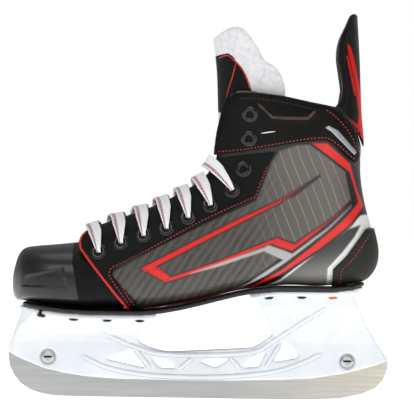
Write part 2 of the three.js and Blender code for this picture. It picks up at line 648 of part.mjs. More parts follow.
function makeEyelet({ place, aim }) {
  const foot = -SHELL_DEPTH - SHELL_THICK;
  const top = EYELET_LIFT + EYELET_FLANGE_THICK;
  const profile = [
    [EYELET_HOLE_R, foot], [EYELET_BARREL_R, foot], [EYELET_BARREL_R, EYELET_LIFT],
    [EYELET_FLANGE_R, EYELET_LIFT], [EYELET_FLANGE_R - 1, top], [EYELET_HOLE_R, top],
  ];
  return turned(profile, 8, place, aim);
}

// ---------------------------------------------------------------- tendon guard

const GUARD_SHELL_THICK = 2.4;
const GUARD_PAD_THICK = 5;

function guardLayer(outerDepth, innerDepth, region) {
  const alongs = evenly(GUARD_FIRST_SECTION, BOOT_SECTIONS.length - 1, 5);
  return sheet(boot, alongs, evenly(-0.5, 0.5, 8), outerDepth, innerDepth)
    .intersect(acrossY(outline(region)));
}

// ---------------------------------------------------------------- tongue

const TONGUE_THICK = 7;
const TONGUE_UNDER_CREST = 12.5;
const WING_HALF = 29;
const WING_REACH = 51;
const TONGUE_BOTTOM_Z = 173;
const COVER_THICK = 1.2;

// The lower tongue follows the crests, under the facings.
function makeLowerTongue() {
  const rows = evenly(0.75, 4.25, 8).map((along) => {
    const lateral = boot.point(along, -1);
    const medial = boot.point(along, 1);
    const across = evenly(1, -1, 6);
    const ahead = boot.point(along + 0.05, 1).sub(boot.point(along - 0.05, 1)).setY(0).normalize();
    const inward = new THREE.Vector3(ahead.z, 0, -ahead.x);
    return across.map((side) => {
      const middle = lateral.clone().lerp(medial, 0.5 + side * 0.62);
      return { middle: middle.addScaledVector(inward, TONGUE_UNDER_CREST + side * side * 2.5), inward };
    });
  });
  const outer = rows.map((row) => row.map(({ middle }) => middle));
  const inner = rows.map((row) => row.map(({ middle, inward }) =>
    middle.clone().addScaledVector(inward, TONGUE_THICK)));
  return between(outer, inner);
}

// The front of the upper tongue, from the ankle to its rolled top, as [x, z].
const TONGUE_FRONT = new THREE.SplineCurve([
  [15, 168], [13.2, 185], [11.8, 205], [11, 225], [10, 243], [8, 258], [6.3, 268], [6, 280],
].map(([x, z]) => new THREE.Vector2(x, z)));

const tongueTop = {
  point(along, round) {
    const front = TONGUE_FRONT.getPoint(along);
    const turn = round * Math.PI / 2;
    const x = front.x + WING_REACH * (1 - Math.cos(turn));
    return new THREE.Vector3(x, WING_HALF * Math.sin(turn), front.y);
  },
  normal(along, round) {
    const turn = round * Math.PI / 2;
    return new THREE.Vector3(-Math.cos(turn) * WING_HALF, Math.sin(turn) * WING_REACH, 0).normalize();
  },
};

const TONGUE_SIDE = [
  [0, TONGUE_BOTTOM_Z], [40, TONGUE_BOTTOM_Z], [40, 226.5], [61, 226.5], [60.5, 230.5], [58.5, 237.5, 3],
  [54.5, 244.5, 3], [45, 249.5, 3], [40, 258.5], [32, 270.5, 3], [27, 274, 3],
  [19.5, 273.5, 3], [12.5, 269.5, 3], [4.5, 263.5, 3], [4.5, 254, 3], [0, 251],
];
const TONGUE_END = [
  [-18.5, TONGUE_BOTTOM_Z], [18.5, TONGUE_BOTTOM_Z], [18.5, 226.5], [50, 226.5], [50, 290],
  [-50, 290], [-50, 226.5], [-18.5, 226.5],
];
// The wings' lower edges, which reach down inside the collar.
const WING_SKIRT = [[40, 229], [40, 225], [61.5, 221], [61, 229]];
const COVER_SIDE = [
  [0, 211], [36, 211], [36, 227], [33.5, 235.5], [29, 244.5], [21.5, 252.5], [17.5, 254.5], [0, 250.5],
];

const tongueLayer = (outerDepth, innerDepth) =>
  sheet(tongueTop, evenly(0, 1, 6), evenly(1, -1, 8), outerDepth, innerDepth);
const tongueEnd = alongX(outline(TONGUE_END), -10, 70);

function makeUpperTongue() {
  const layer = tongueLayer(0, COVER_THICK + TONGUE_THICK);
  const felt = layer.intersect(tongueEnd).intersect(acrossY(outline(TONGUE_SIDE)))
    .add(layer.intersect(acrossY(outline(WING_SKIRT))));
  const recess = tongueLayer(-2, COVER_THICK + GAP).intersect(acrossY(outline(grown(COVER_SIDE, GAP))));
  return felt.subtract(recess);
}

function makeTongueCover() {
  return tongueLayer(0, COVER_THICK).intersect(tongueEnd).intersect(acrossY(outline(COVER_SIDE)));
}

// ---------------------------------------------------------------- lace

// The lace's way from the middle of the first bar to its last eyelet on one side: each
// stop holds a place, the way its flat face looks, and its width there.
function laceHalf(firstSide) {
  const stops = [];
  let face = 1;
  const add = (place, look, width) => stops.push({ place, look: look.clone().multiplyScalar(face), width });
  const up = new THREE.Vector3(0, 0, 1);
  const down = new THREE.Vector3(0, 0, -1);
  const overBoot = (along, round, height) =>
    boot.point(along, round).addScaledVector(boot.normal(along, round), height);
  const middleOf = (along, height) => {
    const place = boot.point(along, 1).lerp(boot.point(along, -1), 0.5);
    return place.addScaledVector(boot.normal(along, 0.999), height);
  };
  let side = firstSide;
  for (let number = 0; number < LACED_PAIRS; number++) {
    const here = eyelets.find((eyelet) => eyelet.side === side && eyelet.number === number);
    const { along, round } = here.spot;
    const before = number === 0 ? along - 0.3 : eyelets[number - 1].spot.along;
    const edge = THREE.MathUtils.lerp(before, along, number === 0 ? 0 : 0.72);
    if (number === 0) add(middleOf(edge, FIRST_BAR_HEIGHT), up, LACE_WIDE);
    add(overBoot(edge, side * EDGE_ROUND, LACE_OVER_EDGE), boot.normal(edge, side * EDGE_ROUND), LACE_WIDE);
    const outside = THREE.MathUtils.lerp(Math.abs(round), 1, 0.4);
    add(overBoot(THREE.MathUtils.lerp(edge, along, 0.6), side * outside, LACE_OVER_FACING), here.aim, LACE_WIDE);
    const towardThroat = boot.point(along, side * (Math.abs(round) + 0.02)).sub(here.place).normalize();
    const byEyelet = (height, shift) =>
      here.place.clone().addScaledVector(here.aim, height).addScaledVector(towardThroat, shift);
    add(byEyelet(LACE_OVER_EYELET, 1.2), here.aim, LACE_NARROW);
    add(byEyelet(LACE_IN_EYELET, 0), towardThroat.clone().negate(), LACE_NARROW);
    add(byEyelet(LACE_UNDER_EYELET, 0.8), here.aim.clone().negate(), LACE_NARROW);
    const inner = THREE.MathUtils.lerp(Math.abs(round), 1, 0.5);
    if (number + 1 < LACED_PAIRS) {
      add(overBoot(along + 0.05, side * inner, LACE_UNDER_LINER),
        boot.normal(along, side * inner).negate(), LACE_WIDE);
      const next = eyelets[number + 1].spot.along;
      const out = THREE.MathUtils.lerp(along, next, 0.3);
      const rise = middleOf(out, LACE_UNDER_THROAT);
      rise.y += side * (Math.abs(boot.point(out, 1).y - rise.y) - LACE_FROM_THROAT);
      add(rise, down, LACE_WIDE);
      const cross = THREE.MathUtils.lerp(along, next, 0.5);
      add(middleOf(cross, BAR_HEIGHTS[firstSide]), down, LACE_WIDE);
    }
    side = -side;
    face = -face;
  }
  return stops;
}

// A flat ribbon through the stops, four corners to a step.
function ribbon(stops, thick, stepsPerStop) {
  const path = new THREE.CatmullRomCurve3(stops.map(({ place }) => place), false, 'centripetal');
  const last = stops.length - 1;
  const rings = evenly(0, last, last * stepsPerStop).map((at) => {
    const i = Math.min(last - 1, Math.floor(at));
    const part = at - i;
    const look = stops[i].look.clone().lerp(stops[i + 1].look, part);
    const half = THREE.MathUtils.lerp(stops[i].width, stops[i + 1].width, part) / 2;
    const place = path.getPoint(at / last);
    const ahead = path.getTangent(at / last);
    const across = new THREE.Vector3().crossVectors(look, ahead).normalize();
    const flat = new THREE.Vector3().crossVectors(ahead, across).normalize();
    const corner = (a, b) => place.clone().addScaledVector(across, a * half).addScaledVector(flat, b * thick / 2);
    return [corner(-1, -1), corner(-1, 1), corner(1, 1), corner(1, -1)];
  });
  return loft(rings);
}

function makeLace() {
  const there = laceHalf(SIDES.lateral);
  const back = laceHalf(SIDES.medial).slice(1);
  return ribbon([...there.reverse(), ...back], LACE_THICK, 1);
}

// ---------------------------------------------------------------- the assembly

const COLOURS = {
  white_plastic: { color: 0xf2f3f4, roughness: 0.28, metalness: 0 },
  steel: { color: 0xb9b4ac, roughness: 0.3, metalness: 1 },
  bright_steel: { color: 0xd8d8d8, roughness: 0.2, metalness: 1 },
  black_rubber: { color: 0x17171a, roughness: 0.6, metalness: 0 },
  black_gloss: { color: 0x141519, roughness: 0.25, metalness: 0 },
  black_leather: { color: 0x1a191c, roughness: 0.55, metalness: 0 },
  grey_panel: { color: 0x55504d, roughness: 0.5, metalness: 0 },
  felt: { color: 0xe6e4e4, roughness: 0.95, metalness: 0 },
  lining: { color: 0x262428, roughness: 0.95, metalness: 0 },
  lace: { color: 0xf0eeee, roughness: 0.85, metalness: 0 },
};

const skate = new THREE.Group();

function place(name, solid, colour) {
  const mesh = new THREE.Mesh(geometryOf(solid), new THREE.MeshStandardMaterial(COLOURS[colour]));
  mesh.name = name;
  skate.add(mesh);
}

place('runner', makeRunner(), 'steel');
place('holder', makeHolder(), 'white_plastic');
for (const [end, at] of Object.entries(SCREW_PLACES)) {
  place(`blade_screw_${end}`, makeScrew(at), 'bright_steel');
  place(`blade_screw_nut_${end}`, makeNut(at), 'bright_steel');
}
for (const rivet of rivets) place(rivet.name, makeRivet(rivet), 'bright_steel');

place('outsole', makeOutsole(), 'black_rubber');
place('toe_cap', makeToeCap(), 'black_gloss');
place('vamp', makeVamp(), 'black_leather');
for (const sideName of Object.keys(SIDES)) {
  place(`quarter_${sideName}`, makeQuarter(sideName), 'grey_panel');
  for (const kind of Object.keys(overlayRegions)) {
    place(`${kind}_${sideName}`, makeOverlay(kind, sideName), 'black_leather');
  }
}
for (const eyelet of eyelets) place(eyelet.name, makeEyelet(eyelet), 'black_gloss');

place('tendon_guard', guardLayer(0, GUARD_SHELL_THICK, GUARD_REGION), 'black_leather');
place('tendon_guard_pad', guardLayer(
  GUARD_SHELL_THICK + GAP, GUARD_SHELL_THICK + GAP + GUARD_PAD_THICK, grown(GUARD_REGION, -1)), 'lining');

place('liner', makeLiner(), 'lining');
place('footbed', makeFootbed(), 'lining');
place('tongue_lower', makeLowerTongue(), 'felt');
place('tongue_upper', makeUpperTongue(), 'felt');
place('tongue_cover', makeTongueCover(), 'black_leather');
place('lace', makeLace(), 'lace');

export default skate;
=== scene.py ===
# A laced ice skate on a white studio floor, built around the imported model. Lengths in the
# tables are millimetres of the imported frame: toe to -X, the outer side of the foot at -Y.
import math

import bmesh
import bpy
import numpy as np
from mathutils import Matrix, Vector
from mathutils.bvhtree import BVHTree


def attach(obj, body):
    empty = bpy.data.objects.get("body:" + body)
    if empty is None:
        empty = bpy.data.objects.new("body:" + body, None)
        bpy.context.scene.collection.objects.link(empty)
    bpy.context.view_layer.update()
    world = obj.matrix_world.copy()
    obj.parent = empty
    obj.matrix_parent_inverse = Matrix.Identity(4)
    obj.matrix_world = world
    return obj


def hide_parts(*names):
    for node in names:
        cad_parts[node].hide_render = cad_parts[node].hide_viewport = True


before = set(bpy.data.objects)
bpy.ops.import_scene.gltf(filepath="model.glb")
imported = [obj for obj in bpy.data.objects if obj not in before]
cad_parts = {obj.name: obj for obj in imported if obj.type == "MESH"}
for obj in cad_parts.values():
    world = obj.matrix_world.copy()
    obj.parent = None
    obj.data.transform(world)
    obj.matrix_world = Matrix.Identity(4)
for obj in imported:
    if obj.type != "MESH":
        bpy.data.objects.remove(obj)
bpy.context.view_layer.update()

MM = 0.001
SIDES = {"lateral": -1, "medial": 1}
ROOT = "boot"

GAP = 0.3
OVERLAY_THICK = 2.0
SHELL_DEPTH = OVERLAY_THICK + GAP
SHELL_THICK = 3.0
LINER_THICK = 3.0
OUTSOLE_THICK = 3.0
TOE_CAP_THICK = 2.8
COVER_THICK = 1.2
TONGUE_THICK = 7.0
WIDE = 70.0


# ---------------------------------------------------------------- camera, floor and lights

VIEW_CENTRE = (4.4, 145.3)
VIEW_WIDTH = 306.0
VIEW_DISTANCE = 2600.0
VIEW_ROLL = -0.9
LIGHT_AIM = (0, 0, 0.14)
AMBIENT = 0.27
WARM_WHITE = (1, 0.97, 0.93)
# place in metres, size in metres, power, colour
LIGHTS = {
    "key": ((-0.55, -1.15, 1.0), (0.9, 0.7), 5.4, (1, 1, 1)),
    "fill": ((0.95, -1.2, 0.5), (0.7, 1.0), 2.8, WARM_WHITE),
    "top": ((0.0, 0.15, 1.4), (1.2, 0.8), 3.8, (1, 1, 1)),
    "rim": ((0.5, 1.2, 0.8), (0.9, 0.9), 4.6, (1, 1, 1)),
}
FLOOR_HALF = 12000.0
FLOOR_DROP = 0.05


def make_camera():
    data = bpy.data.cameras.new("camera")
    data.sensor_width = 36.0
    data.lens = data.sensor_width * VIEW_DISTANCE / VIEW_WIDTH
    data.clip_end = 20.0
    camera = bpy.data.objects.new("camera", data)
    bpy.context.scene.collection.objects.link(camera)
    camera.location = Vector((VIEW_CENTRE[0], -VIEW_DISTANCE, VIEW_CENTRE[1])) * MM
    camera.rotation_euler = (math.radians(90), math.radians(VIEW_ROLL), 0)
    bpy.context.scene.camera = camera


def make_light(name, place, size, power, colour):
    data = bpy.data.lights.new(name, "AREA")
    data.shape = "RECTANGLE"
    data.size, data.size_y = size
    data.energy = power
    data.color = colour
    light = bpy.data.objects.new(name, data)
    bpy.context.scene.collection.objects.link(light)
    light.location = place
    aim = Vector(LIGHT_AIM) - Vector(place)
    light.rotation_euler = aim.to_track_quat("-Z", "Y").to_euler()


def make_world():
    world = bpy.data.worlds.new("studio")
    bpy.context.scene.world = world
    world.use_nodes = True
    tree = world.node_tree
    lighting = tree.nodes["Background"]
    lighting.inputs["Color"].default_value = (1, 1, 1, 1)
    lighting.inputs["Strength"].default_value = AMBIENT
    seen = tree.nodes.new("ShaderNodeBackground")
    seen.inputs["Color"].default_value = (1, 1, 1, 1)
    seen.inputs["Strength"].default_value = 1.0
    rays = tree.nodes.new("ShaderNodeLightPath")
    choice = tree.nodes.new("ShaderNodeMixShader")
    tree.links.new(rays.outputs["Is Camera Ray"], choice.inputs[0])
    tree.links.new(lighting.outputs[0], choice.inputs[1])
    tree.links.new(seen.outputs[0], choice.inputs[2])
    tree.links.new(choice.outputs[0], tree.nodes["World Output"].inputs["Surface"])
    bpy.context.scene.view_settings.view_transform = "Standard"


# ---------------------------------------------------------------- meshes

def add_mesh(name, points, faces):
    mesh = bpy.data.meshes.new(name)
    mesh.from_pydata((np.asarray(points, float) * MM).tolist(), [], [list(f) for f in faces])
    mesh.validate()
    piece = bpy.data.objects.new(name, mesh)
    bpy.context.scene.collection.objects.link(piece)
    return piece


def face_out(piece):
    work = bmesh.new()
    work.from_mesh(piece.data)
    bmesh.ops.recalc_face_normals(work, faces=work.faces)
    work.to_mesh(piece.data)
    work.free()


def smooth(piece, sharp_above=38):
    piece.data.shade_smooth()
    piece.data.set_sharp_from_angle(angle=math.radians(sharp_above))


def bake(piece):
    graph = bpy.context.evaluated_depsgraph_get()
    mesh = bpy.data.meshes.new_from_object(piece.evaluated_get(graph))
    old = piece.data
    piece.modifiers.clear()
    piece.data = mesh
    bpy.data.meshes.remove(old)
    mesh.name = piece.name


def cut(piece, tool, operation="INTERSECT"):
    change = piece.modifiers.new("cut", "BOOLEAN")
    change.operation = operation
    change.solver = "MANIFOLD"
    change.object = tool
    bake(piece)
    shape = tool.data
    bpy.data.objects.remove(tool)
    bpy.data.meshes.remove(shape)
    return piece


def soften(piece, voxel, rounds=3):
    """Rounds every edge of a closed piece, as moulded or folded material has them."""
    remesh = piece.modifiers.new("remesh", "REMESH")
    remesh.mode = "VOXEL"
    remesh.voxel_size = voxel * MM
    relax = piece.modifiers.new("relax", "SMOOTH")
    relax.factor = 0.5
    relax.iterations = rounds
    bake(piece)
    piece.data.shade_smooth()
    return piece


def rounded(corners, steps=5):
    """The points of a closed outline of [a, b] corners; a third number rounds a corner."""
    points = []
    for i, corner in enumerate(corners):
        at = np.array(corner[:2], float)
        before = np.array(corners[i - 1][:2], float)
        after = np.array(corners[(i + 1) % len(corners)][:2], float)
        room = 0.45 * min(np.linalg.norm(before - at), np.linalg.norm(after - at))
        reach = min(corner[2] if len(corner) > 2 else 0, room)
        if reach == 0:
            points.append(at)
            continue
        first = at + (before - at) / np.linalg.norm(before - at) * reach
        last = at + (after - at) / np.linalg.norm(after - at) * reach
        for t in np.linspace(0, 1, steps):
            points.append((1 - t) ** 2 * first + 2 * t * (1 - t) * at + t * t * last)
    return np.array(points)


def across_y(corners, low=-WIDE, high=WIDE):
    """A side-view outline of [x, z] corners made solid from y = low to y = high."""
    flat = rounded(corners)
    count = len(flat)
    sides = [np.column_stack([flat[:, 0], np.full(count, y), flat[:, 1]]) for y in (low, high)]
    walls = [(i, (i + 1) % count, count + (i + 1) % count, count + i) for i in range(count)]
    caps = [tuple(range(count)), tuple(range(2 * count - 1, count - 1, -1))]
    tool = add_mesh("tool", np.vstack(sides), walls + caps)
    face_out(tool)
    return tool


def along_x(corners, low, high):
    """An end-view outline of [y, z] corners made solid from x = low to x = high."""
    flat = rounded(corners)
    count = len(flat)
    ends = [np.column_stack([np.full(count, x), flat]) for x in (low, high)]
    walls = [(i, (i + 1) % count, count + (i + 1) % count, count + i) for i in range(count)]
    caps = [tuple(range(count)), tuple(range(2 * count - 1, count - 1, -1))]
    tool = add_mesh("tool", np.vstack(ends), walls + caps)
    face_out(tool)
    return tool


def half_space(side):
    low, high = (-WIDE, -GAP / 2) if side < 0 else (GAP / 2, WIDE)
    return across_y([[-160, 30], [160, 30], [160, 300], [-160, 300]], low, high)


def grid_quads(rows, columns, start=0, flip=False):
    i, j = np.meshgrid(np.arange(rows - 1), np.arange(columns - 1), indexing="ij")
    a = (i * columns + j).ravel() + start
    quads = np.stack([a, a + columns, a + columns + 1, a + 1], 1)
    return quads[:, ::-1].tolist() if flip else quads.tolist()


def between(name, outer, inner):
    """A closed sheet between two grids of points, which may be open at all four edges."""
    rows, columns = outer.shape[:2]
    count = rows * columns
    border = [(0, j) for j in range(columns)] + [(i, columns - 1) for i in range(1, rows)]
    border += [(rows - 1, j) for j in range(columns - 2, -1, -1)] + [(i, 0) for i in range(rows - 2, 0, -1)]
    rim = [i * columns + j for i, j in border]
    faces = grid_quads(rows, columns) + grid_quads(rows, columns, count, True)
    for a, b in zip(rim, rim[1:] + rim[:1]):
        faces.append([a, b, count + b, count + a])
    piece = add_mesh(name, np.vstack([outer.reshape(-1, 3), inner.reshape(-1, 3)]), faces)
    face_out(piece)
    return piece


def ring_faces(rows, columns, steps):
    """Quads from each ring of points to the next one, for the given number of steps."""
    faces = []
    for i in range(steps):
        n = (i + 1) % rows
        for j in range(columns):
            k = (j + 1) % columns
            faces.append([i * columns + j, i * columns + k, n * columns + k, n * columns + j])
    return faces


def loft(name, rings):
    """A closed solid over rings of points, of shape (rings, points, 3)."""
    rings = np.asarray(rings, float)
    rows, columns = rings.shape[:2]
    faces = ring_faces(rows, columns, rows - 1)
    middle = rows * columns
    points = np.vstack([rings.reshape(-1, 3), rings[0].mean(0), rings[-1].mean(0)])
    for j in range(columns):
        k = (j + 1) % columns
        faces.append([middle, k, j])
        faces.append([middle + 1, (rows - 1) * columns + j, (rows - 1) * columns + k])
    piece = add_mesh(name, points, faces)
    face_out(piece)
    return piece


def turned(profile, sides, place, aim):
    """Rings of points for [radius, height] points about an axis at place along aim."""
    aim = Vector(aim).normalized()
    one = aim.orthogonal().normalized()
    other = aim.cross(one)
    rings = []
    for radius, height in profile:
        ring = []
        for i in range(sides):
            turn = 2 * math.pi * i / sides
            ring.append(np.array(place) + np.array(one * math.cos(turn) + other * math.sin(turn)) * radius
                        + np.array(aim) * height)
        rings.append(ring)
    return rings


def closed_ring(name, profile, sides, place, aim):
    """A turned solid whose profile is a closed loop, such as an eyelet."""
    rings = np.array(turned(profile, sides, place, aim))
    piece = add_mesh(name, rings.reshape(-1, 3), ring_faces(len(rings), sides, len(rings)))
    face_out(piece)
    return piece


def joined(name, parts):
    points, faces, start = [], [], 0
    for some_points, some_faces in parts:
        points.append(np.asarray(some_points, float))
        faces += [[start + i for i in face] for face in some_faces]
        start += len(some_points)
    piece = add_mesh(name, np.vstack(points), faces)
    face_out(piece)
    return piece


# ---------------------------------------------------------------- the boot's surface

def smoothstep(x, low, high):
    t = np.clip((np.asarray(x, float) - low) / (high - low), 0, 1)
    return t * t * (3 - 2 * t)


FOREFOOT_Z, HEEL_RISE, ARCH = 61.7, 19, (-45, 62)
TOE_SPRING = {"start": -85, "over": 45, "rise": 4.9, "power": 1.6}
HEEL_LIFT = {"start": 95, "over": 26, "rise": 4, "power": 2}
TOE_SHIFT, FOREFOOT_REACH = 4, 120


def bend(past, over, rise, power):
    return rise * np.maximum(0, past / over) ** power


def sole_line(x):
    """Height of the outsole's underside: toe spring, flat forefoot, arch ramp and heel."""
    x = np.asarray(x, float)
    spring = bend(TOE_SPRING["start"] - x, TOE_SPRING["over"], TOE_SPRING["rise"], TOE_SPRING["power"])
    heel = bend(x - HEEL_LIFT["start"], HEEL_LIFT["over"], HEEL_LIFT["rise"], HEEL_LIFT["power"])
    return FOREFOOT_Z + HEEL_RISE * smoothstep(x, *ARCH) + spring + heel


def side_shift(x):
    return TOE_SHIFT * smoothstep(-np.asarray(x, float), 0, FOREFOOT_REACH)


SOLE_TOP = OUTSOLE_THICK + 3 * GAP


def on_sole(x):
    return [x, float(sole_line(x)) + SOLE_TOP - SHELL_DEPTH]


def cap_on_sole(x):
    return [x, float(sole_line(x)) + SOLE_TOP]


# base, crest, half width, half gap at the crest, where it is widest, corner powers
BOOT_SECTIONS = [
    (on_sole(-91), [-91, 119.5], 48.5, 14, 0.42, 3.4, 2.1),
    (on_sole(-76), [-70.5, 128.4], 49.3, 16, 0.42, 3.4, 2.1),
    (on_sole(-44), [-36.1, 140.9], 48, 18, 0.4, 3.4, 2.1),
    (on_sole(-8), [-9.5, 154.7], 44, 20, 0.4, 3.2, 2.1),
    (on_sole(30), [4.5, 166], 39.5, 21.5, 0.42, 3, 2.1),
    (on_sole(62), [8.2, 177], 37.5, 22.5, 0.42, 3, 2.1),
    (on_sole(92), [9, 185], 36.5, 23.5, 0.42, 2.8, 2.1),
    ([118, 87], [10, 194], 36.5, 24, 0.42, 2.4, 2.1),
    ([129, 96.5], [11.3, 201], 37, 24, 0.43, 2.2, 2.1),
    ([131.8, 111], [12.6, 207], 37.5, 24, 0.44, 2.2, 2.2),
    ([127.5, 130], [14, 213.5], 38.5, 24, 0.45, 2.2, 2.2),
    ([122.5, 149], [15.8, 219], 39.5, 24, 0.46, 2.2, 2.3),
    ([119.6, 168], [18.4, 224], 40.5, 24, 0.47, 2.2, 2.4),
    ([119.6, 190], [21, 232], 40.5, 24, 0.48, 2.2, 2.4),
    ([117.4, 215], [22, 246], 38, 24, 0.48, 2.2, 2.4),
    ([115.6, 252], [23, 270], 35, 24, 0.48, 2.2, 2.4),
    ([113.2, 287], [24, 290], 31, 24, 0.48, 2.2, 2.4),
]
BOOT_TOP_SECTION = 14
GUARD_FIRST_SECTION = 12

TOE_SECTIONS = [
    ([-138, 78], [-138, 89], 7, 0, 0.45, 2.6, 2.4),
    ([-136.8, 73.5], [-136.6, 95.5], 16, 0, 0.45, 2.8, 2.4),
    ([-134, 70.6], [-133.8, 104], 25, 0, 0.44, 3, 2.5),
    (cap_on_sole(-129), [-129, 109], 34, 0, 0.42, 3.2, 2.6),
    (cap_on_sole(-119), [-119, 110.8], 41.5, 0, 0.42, 3.3, 2.6),
    (cap_on_sole(-106), [-106, 112], 46, 0, 0.42, 3.4, 2.6),
    (cap_on_sole(-90), [-90, 113.8], 48.6, 0, 0.42, 3.4, 2.5),
    (cap_on_sole(-70), [-70, 116], 49.2, 0, 0.42, 3.4, 2.4),
    (cap_on_sole(-46), [-46, 120], 48.2, 0, 0.42, 3.4, 2.4),
]


def spline(values, at):
    """A smooth line through rows of values; at counts the rows."""
    values = np.asarray(values, float)
    ends = np.vstack([2 * values[0] - values[1], values, 2 * values[-1] - values[-2]])
    i = np.clip(np.floor(at).astype(int), 0, len(values) - 2)
    t = (at - i)[..., None]
    p0, p1, p2, p3 = ends[i], ends[i + 1], ends[i + 2], ends[i + 3]
    m1, m2 = (p2 - p0) / 2, (p3 - p1) / 2
    return (2 * p1 - 2 * p2 + m1 + m2) * t**3 + (3 * p2 - 3 * p1 - 2 * m1 - m2) * t**2 + m1 * t + p1


class Surface:
    """A smooth skin through cross-sections. round runs from -1 at the lateral crest, through
    0 at the base, to 1 at the medial crest."""

    def __init__(self, sections):
        self.last = len(sections) - 1
        self.rows = [[*base, *crest, *rest] for base, crest, *rest in sections]

    def point(self, along, around):
        along, around = np.broadcast_arrays(np.asarray(along, float), np.asarray(around, float))
        row = spline(self.rows, along)
        base_x, base_z, crest_x, crest_z, wide, throat, widest, low, high = np.moveaxis(row, -1, 0)
        part = np.abs(around)
        lower = part < 0.5
        sin_low = np.sin(np.minimum(part, 0.5) * math.pi)
        cos_low = np.maximum(0, np.cos(np.minimum(part, 0.5) * math.pi))
        turn = (np.maximum(part, 0.5) - 0.5) * math.pi
        across = np.where(lower, wide * sin_low ** (2 / low),
                          throat + (wide - throat) * np.maximum(0, np.cos(turn)) ** (2 / high))
        height = np.where(lower, widest * (1 - cos_low ** (2 / low)),
                          widest + (1 - widest) * np.sin(turn) ** (2 / high))
        x = base_x + (crest_x - base_x) * height
        z = base_z + (crest_z - base_z) * height
        return np.stack([x, side_shift(base_x) + np.sign(around) * across, z], -1)

    def normal(self, along, around):
        step = 1e-3
        ahead = self.point(np.minimum(self.last, along + step), around)
        ahead = ahead - self.point(np.maximum(0, along - step), around)
        beside = self.point(along, np.minimum(1, around + step))
        beside = beside - self.point(along, np.maximum(-1, around - step))
        out = np.cross(beside, ahead)
        return out / np.maximum(1e-9, np.linalg.norm(out, axis=-1, keepdims=True))

    def grid(self, alongs, rounds, depth):
        a, r = np.meshgrid(alongs, rounds, indexing="ij")
        points, normals = self.point(a, r), self.normal(a, r)
        lift = depth(points) if callable(depth) else depth
        return points - normals * np.asarray(lift)[..., None] if callable(depth) else points - normals * depth


boot = Surface(BOOT_SECTIONS)
toe = Surface(TOE_SECTIONS)


def seen_at(spot, side):
    """Where the boot's surface is seen at [x, z] from the side: (along, round)."""
    along, around, miss = 5.0, 0.8, 1e9
    reach = 6.0
    while reach > 0.002:
        steps = np.linspace(-1, 1, 11)
        a, r = np.meshgrid(along + steps * reach, around + steps * reach * 0.05, indexing="ij")
        a, r = np.clip(a, 0, BOOT_TOP_SECTION), np.clip(r, 0.5, 1)
        place = boot.point(a, r)
        off = np.hypot(place[..., 0] - spot[0], place[..., 2] - spot[1])
        best = np.unravel_index(off.argmin(), off.shape)
        if off[best] < miss:
            along, around, miss = a[best], r[best], off[best]
        reach *= 0.5
    return float(along), float(side * around)


# ---------------------------------------------------------------- side-view outlines

TOE_CAP_EDGE = [[-93, 130], [-93, 98.5], [-91.5, 92], [-88.3, 74], [-86.6, 60]]
PIPING_LINE = [[-83, 125], [-87.6, 118, 3], [-88.4, 111.5, 3], [-83, 103], [-62, 77], [-48, 60]]
CAP_REGION = [[-145, 60], [-145, 130], *TOE_CAP_EDGE]
VAMP_REGION = [*TOE_CAP_EDGE, *PIPING_LINE[::-1]]
COLLAR_LINE = [
    [18.4, 224.5], [28, 225.6], [38.5, 225.6], [58.7, 223.3], [79, 219.1], [96.5, 216],
    [107, 206.5], [114.5, 196.5], [117.5, 187], [119, 180.6], [116.8, 180.6], [116.8, 177.2],
    [124, 176.2],
]
BOOT_REGION = [*PIPING_LINE, [140, 60], [140, 176.2], *COLLAR_LINE[::-1], [10, 235], [-20, 235]]
FACING_REGION = [
    *PIPING_LINE, [-45, 69], [-58, 84], [-64.5, 91, 3], [-60, 99, 3], [-22, 117], [36, 146.6],
    [40.5, 150, 2], [44, 160], [49.2, 173.7], [53.5, 182], [29, 179.5], [4, 176], [-20, 176],
]
CUFF_REGION = [
    [0, 178.8], [11.8, 180.3], [29, 182], [49, 185.3], [69, 189], [84, 191, 3], [92.4, 190.9, 3],
    [99.5, 186.5], [109.7, 177.6], [114.5, 175.5], [116.2, 180], [114, 189], [112, 196],
    [104.8, 205.5], [95, 213.6], [79, 216.8], [58.7, 221], [38.5, 223.2], [28, 223.2],
    [19, 222.4], [10, 235],
]
HEEL_PATCH_REGION = [
    [96.8, 70], [97.4, 96.5], [106.9, 106], [115.2, 118], [121.3, 126.5], [140, 130.5], [140, 70],
]
LINER_REGION = [
    [-80, 60], [-80, 92], [-60, 99], [-22, 114], [10, 128], [34, 144], [43, 154], [49, 173],
    [50, 196], [48, 222.8], [58.7, 221.8], [79, 217.6], [95.5, 214.4], [105.6, 205], [113, 195.6],
    [115.8, 187], [115.8, 176], [140, 176], [140, 60],
]
GUARD_REGION = [
    [98.2, 216.6], [101, 219.8], [102.4, 230], [100.8, 240], [98.9, 255], [100.5, 267],
    [105.9, 279.4], [107.8, 284, 2], [110.4, 285.2, 1], [114.5, 284.4, 2], [135, 250], [135, 182.2],
    [120.4, 182.2], [118.9, 188], [115.6, 197.4], [108, 207.3],
]
EYELET_PLACES = [
    [-73.8, 107.3], [-57.7, 114.2], [-41.3, 119.9], [-24.8, 125.4], [-9.2, 133.6],
    [6.9, 142.9], [22.7, 154.2], [30.7, 169.5], [34.4, 191.7], [34.9, 209.4],
]


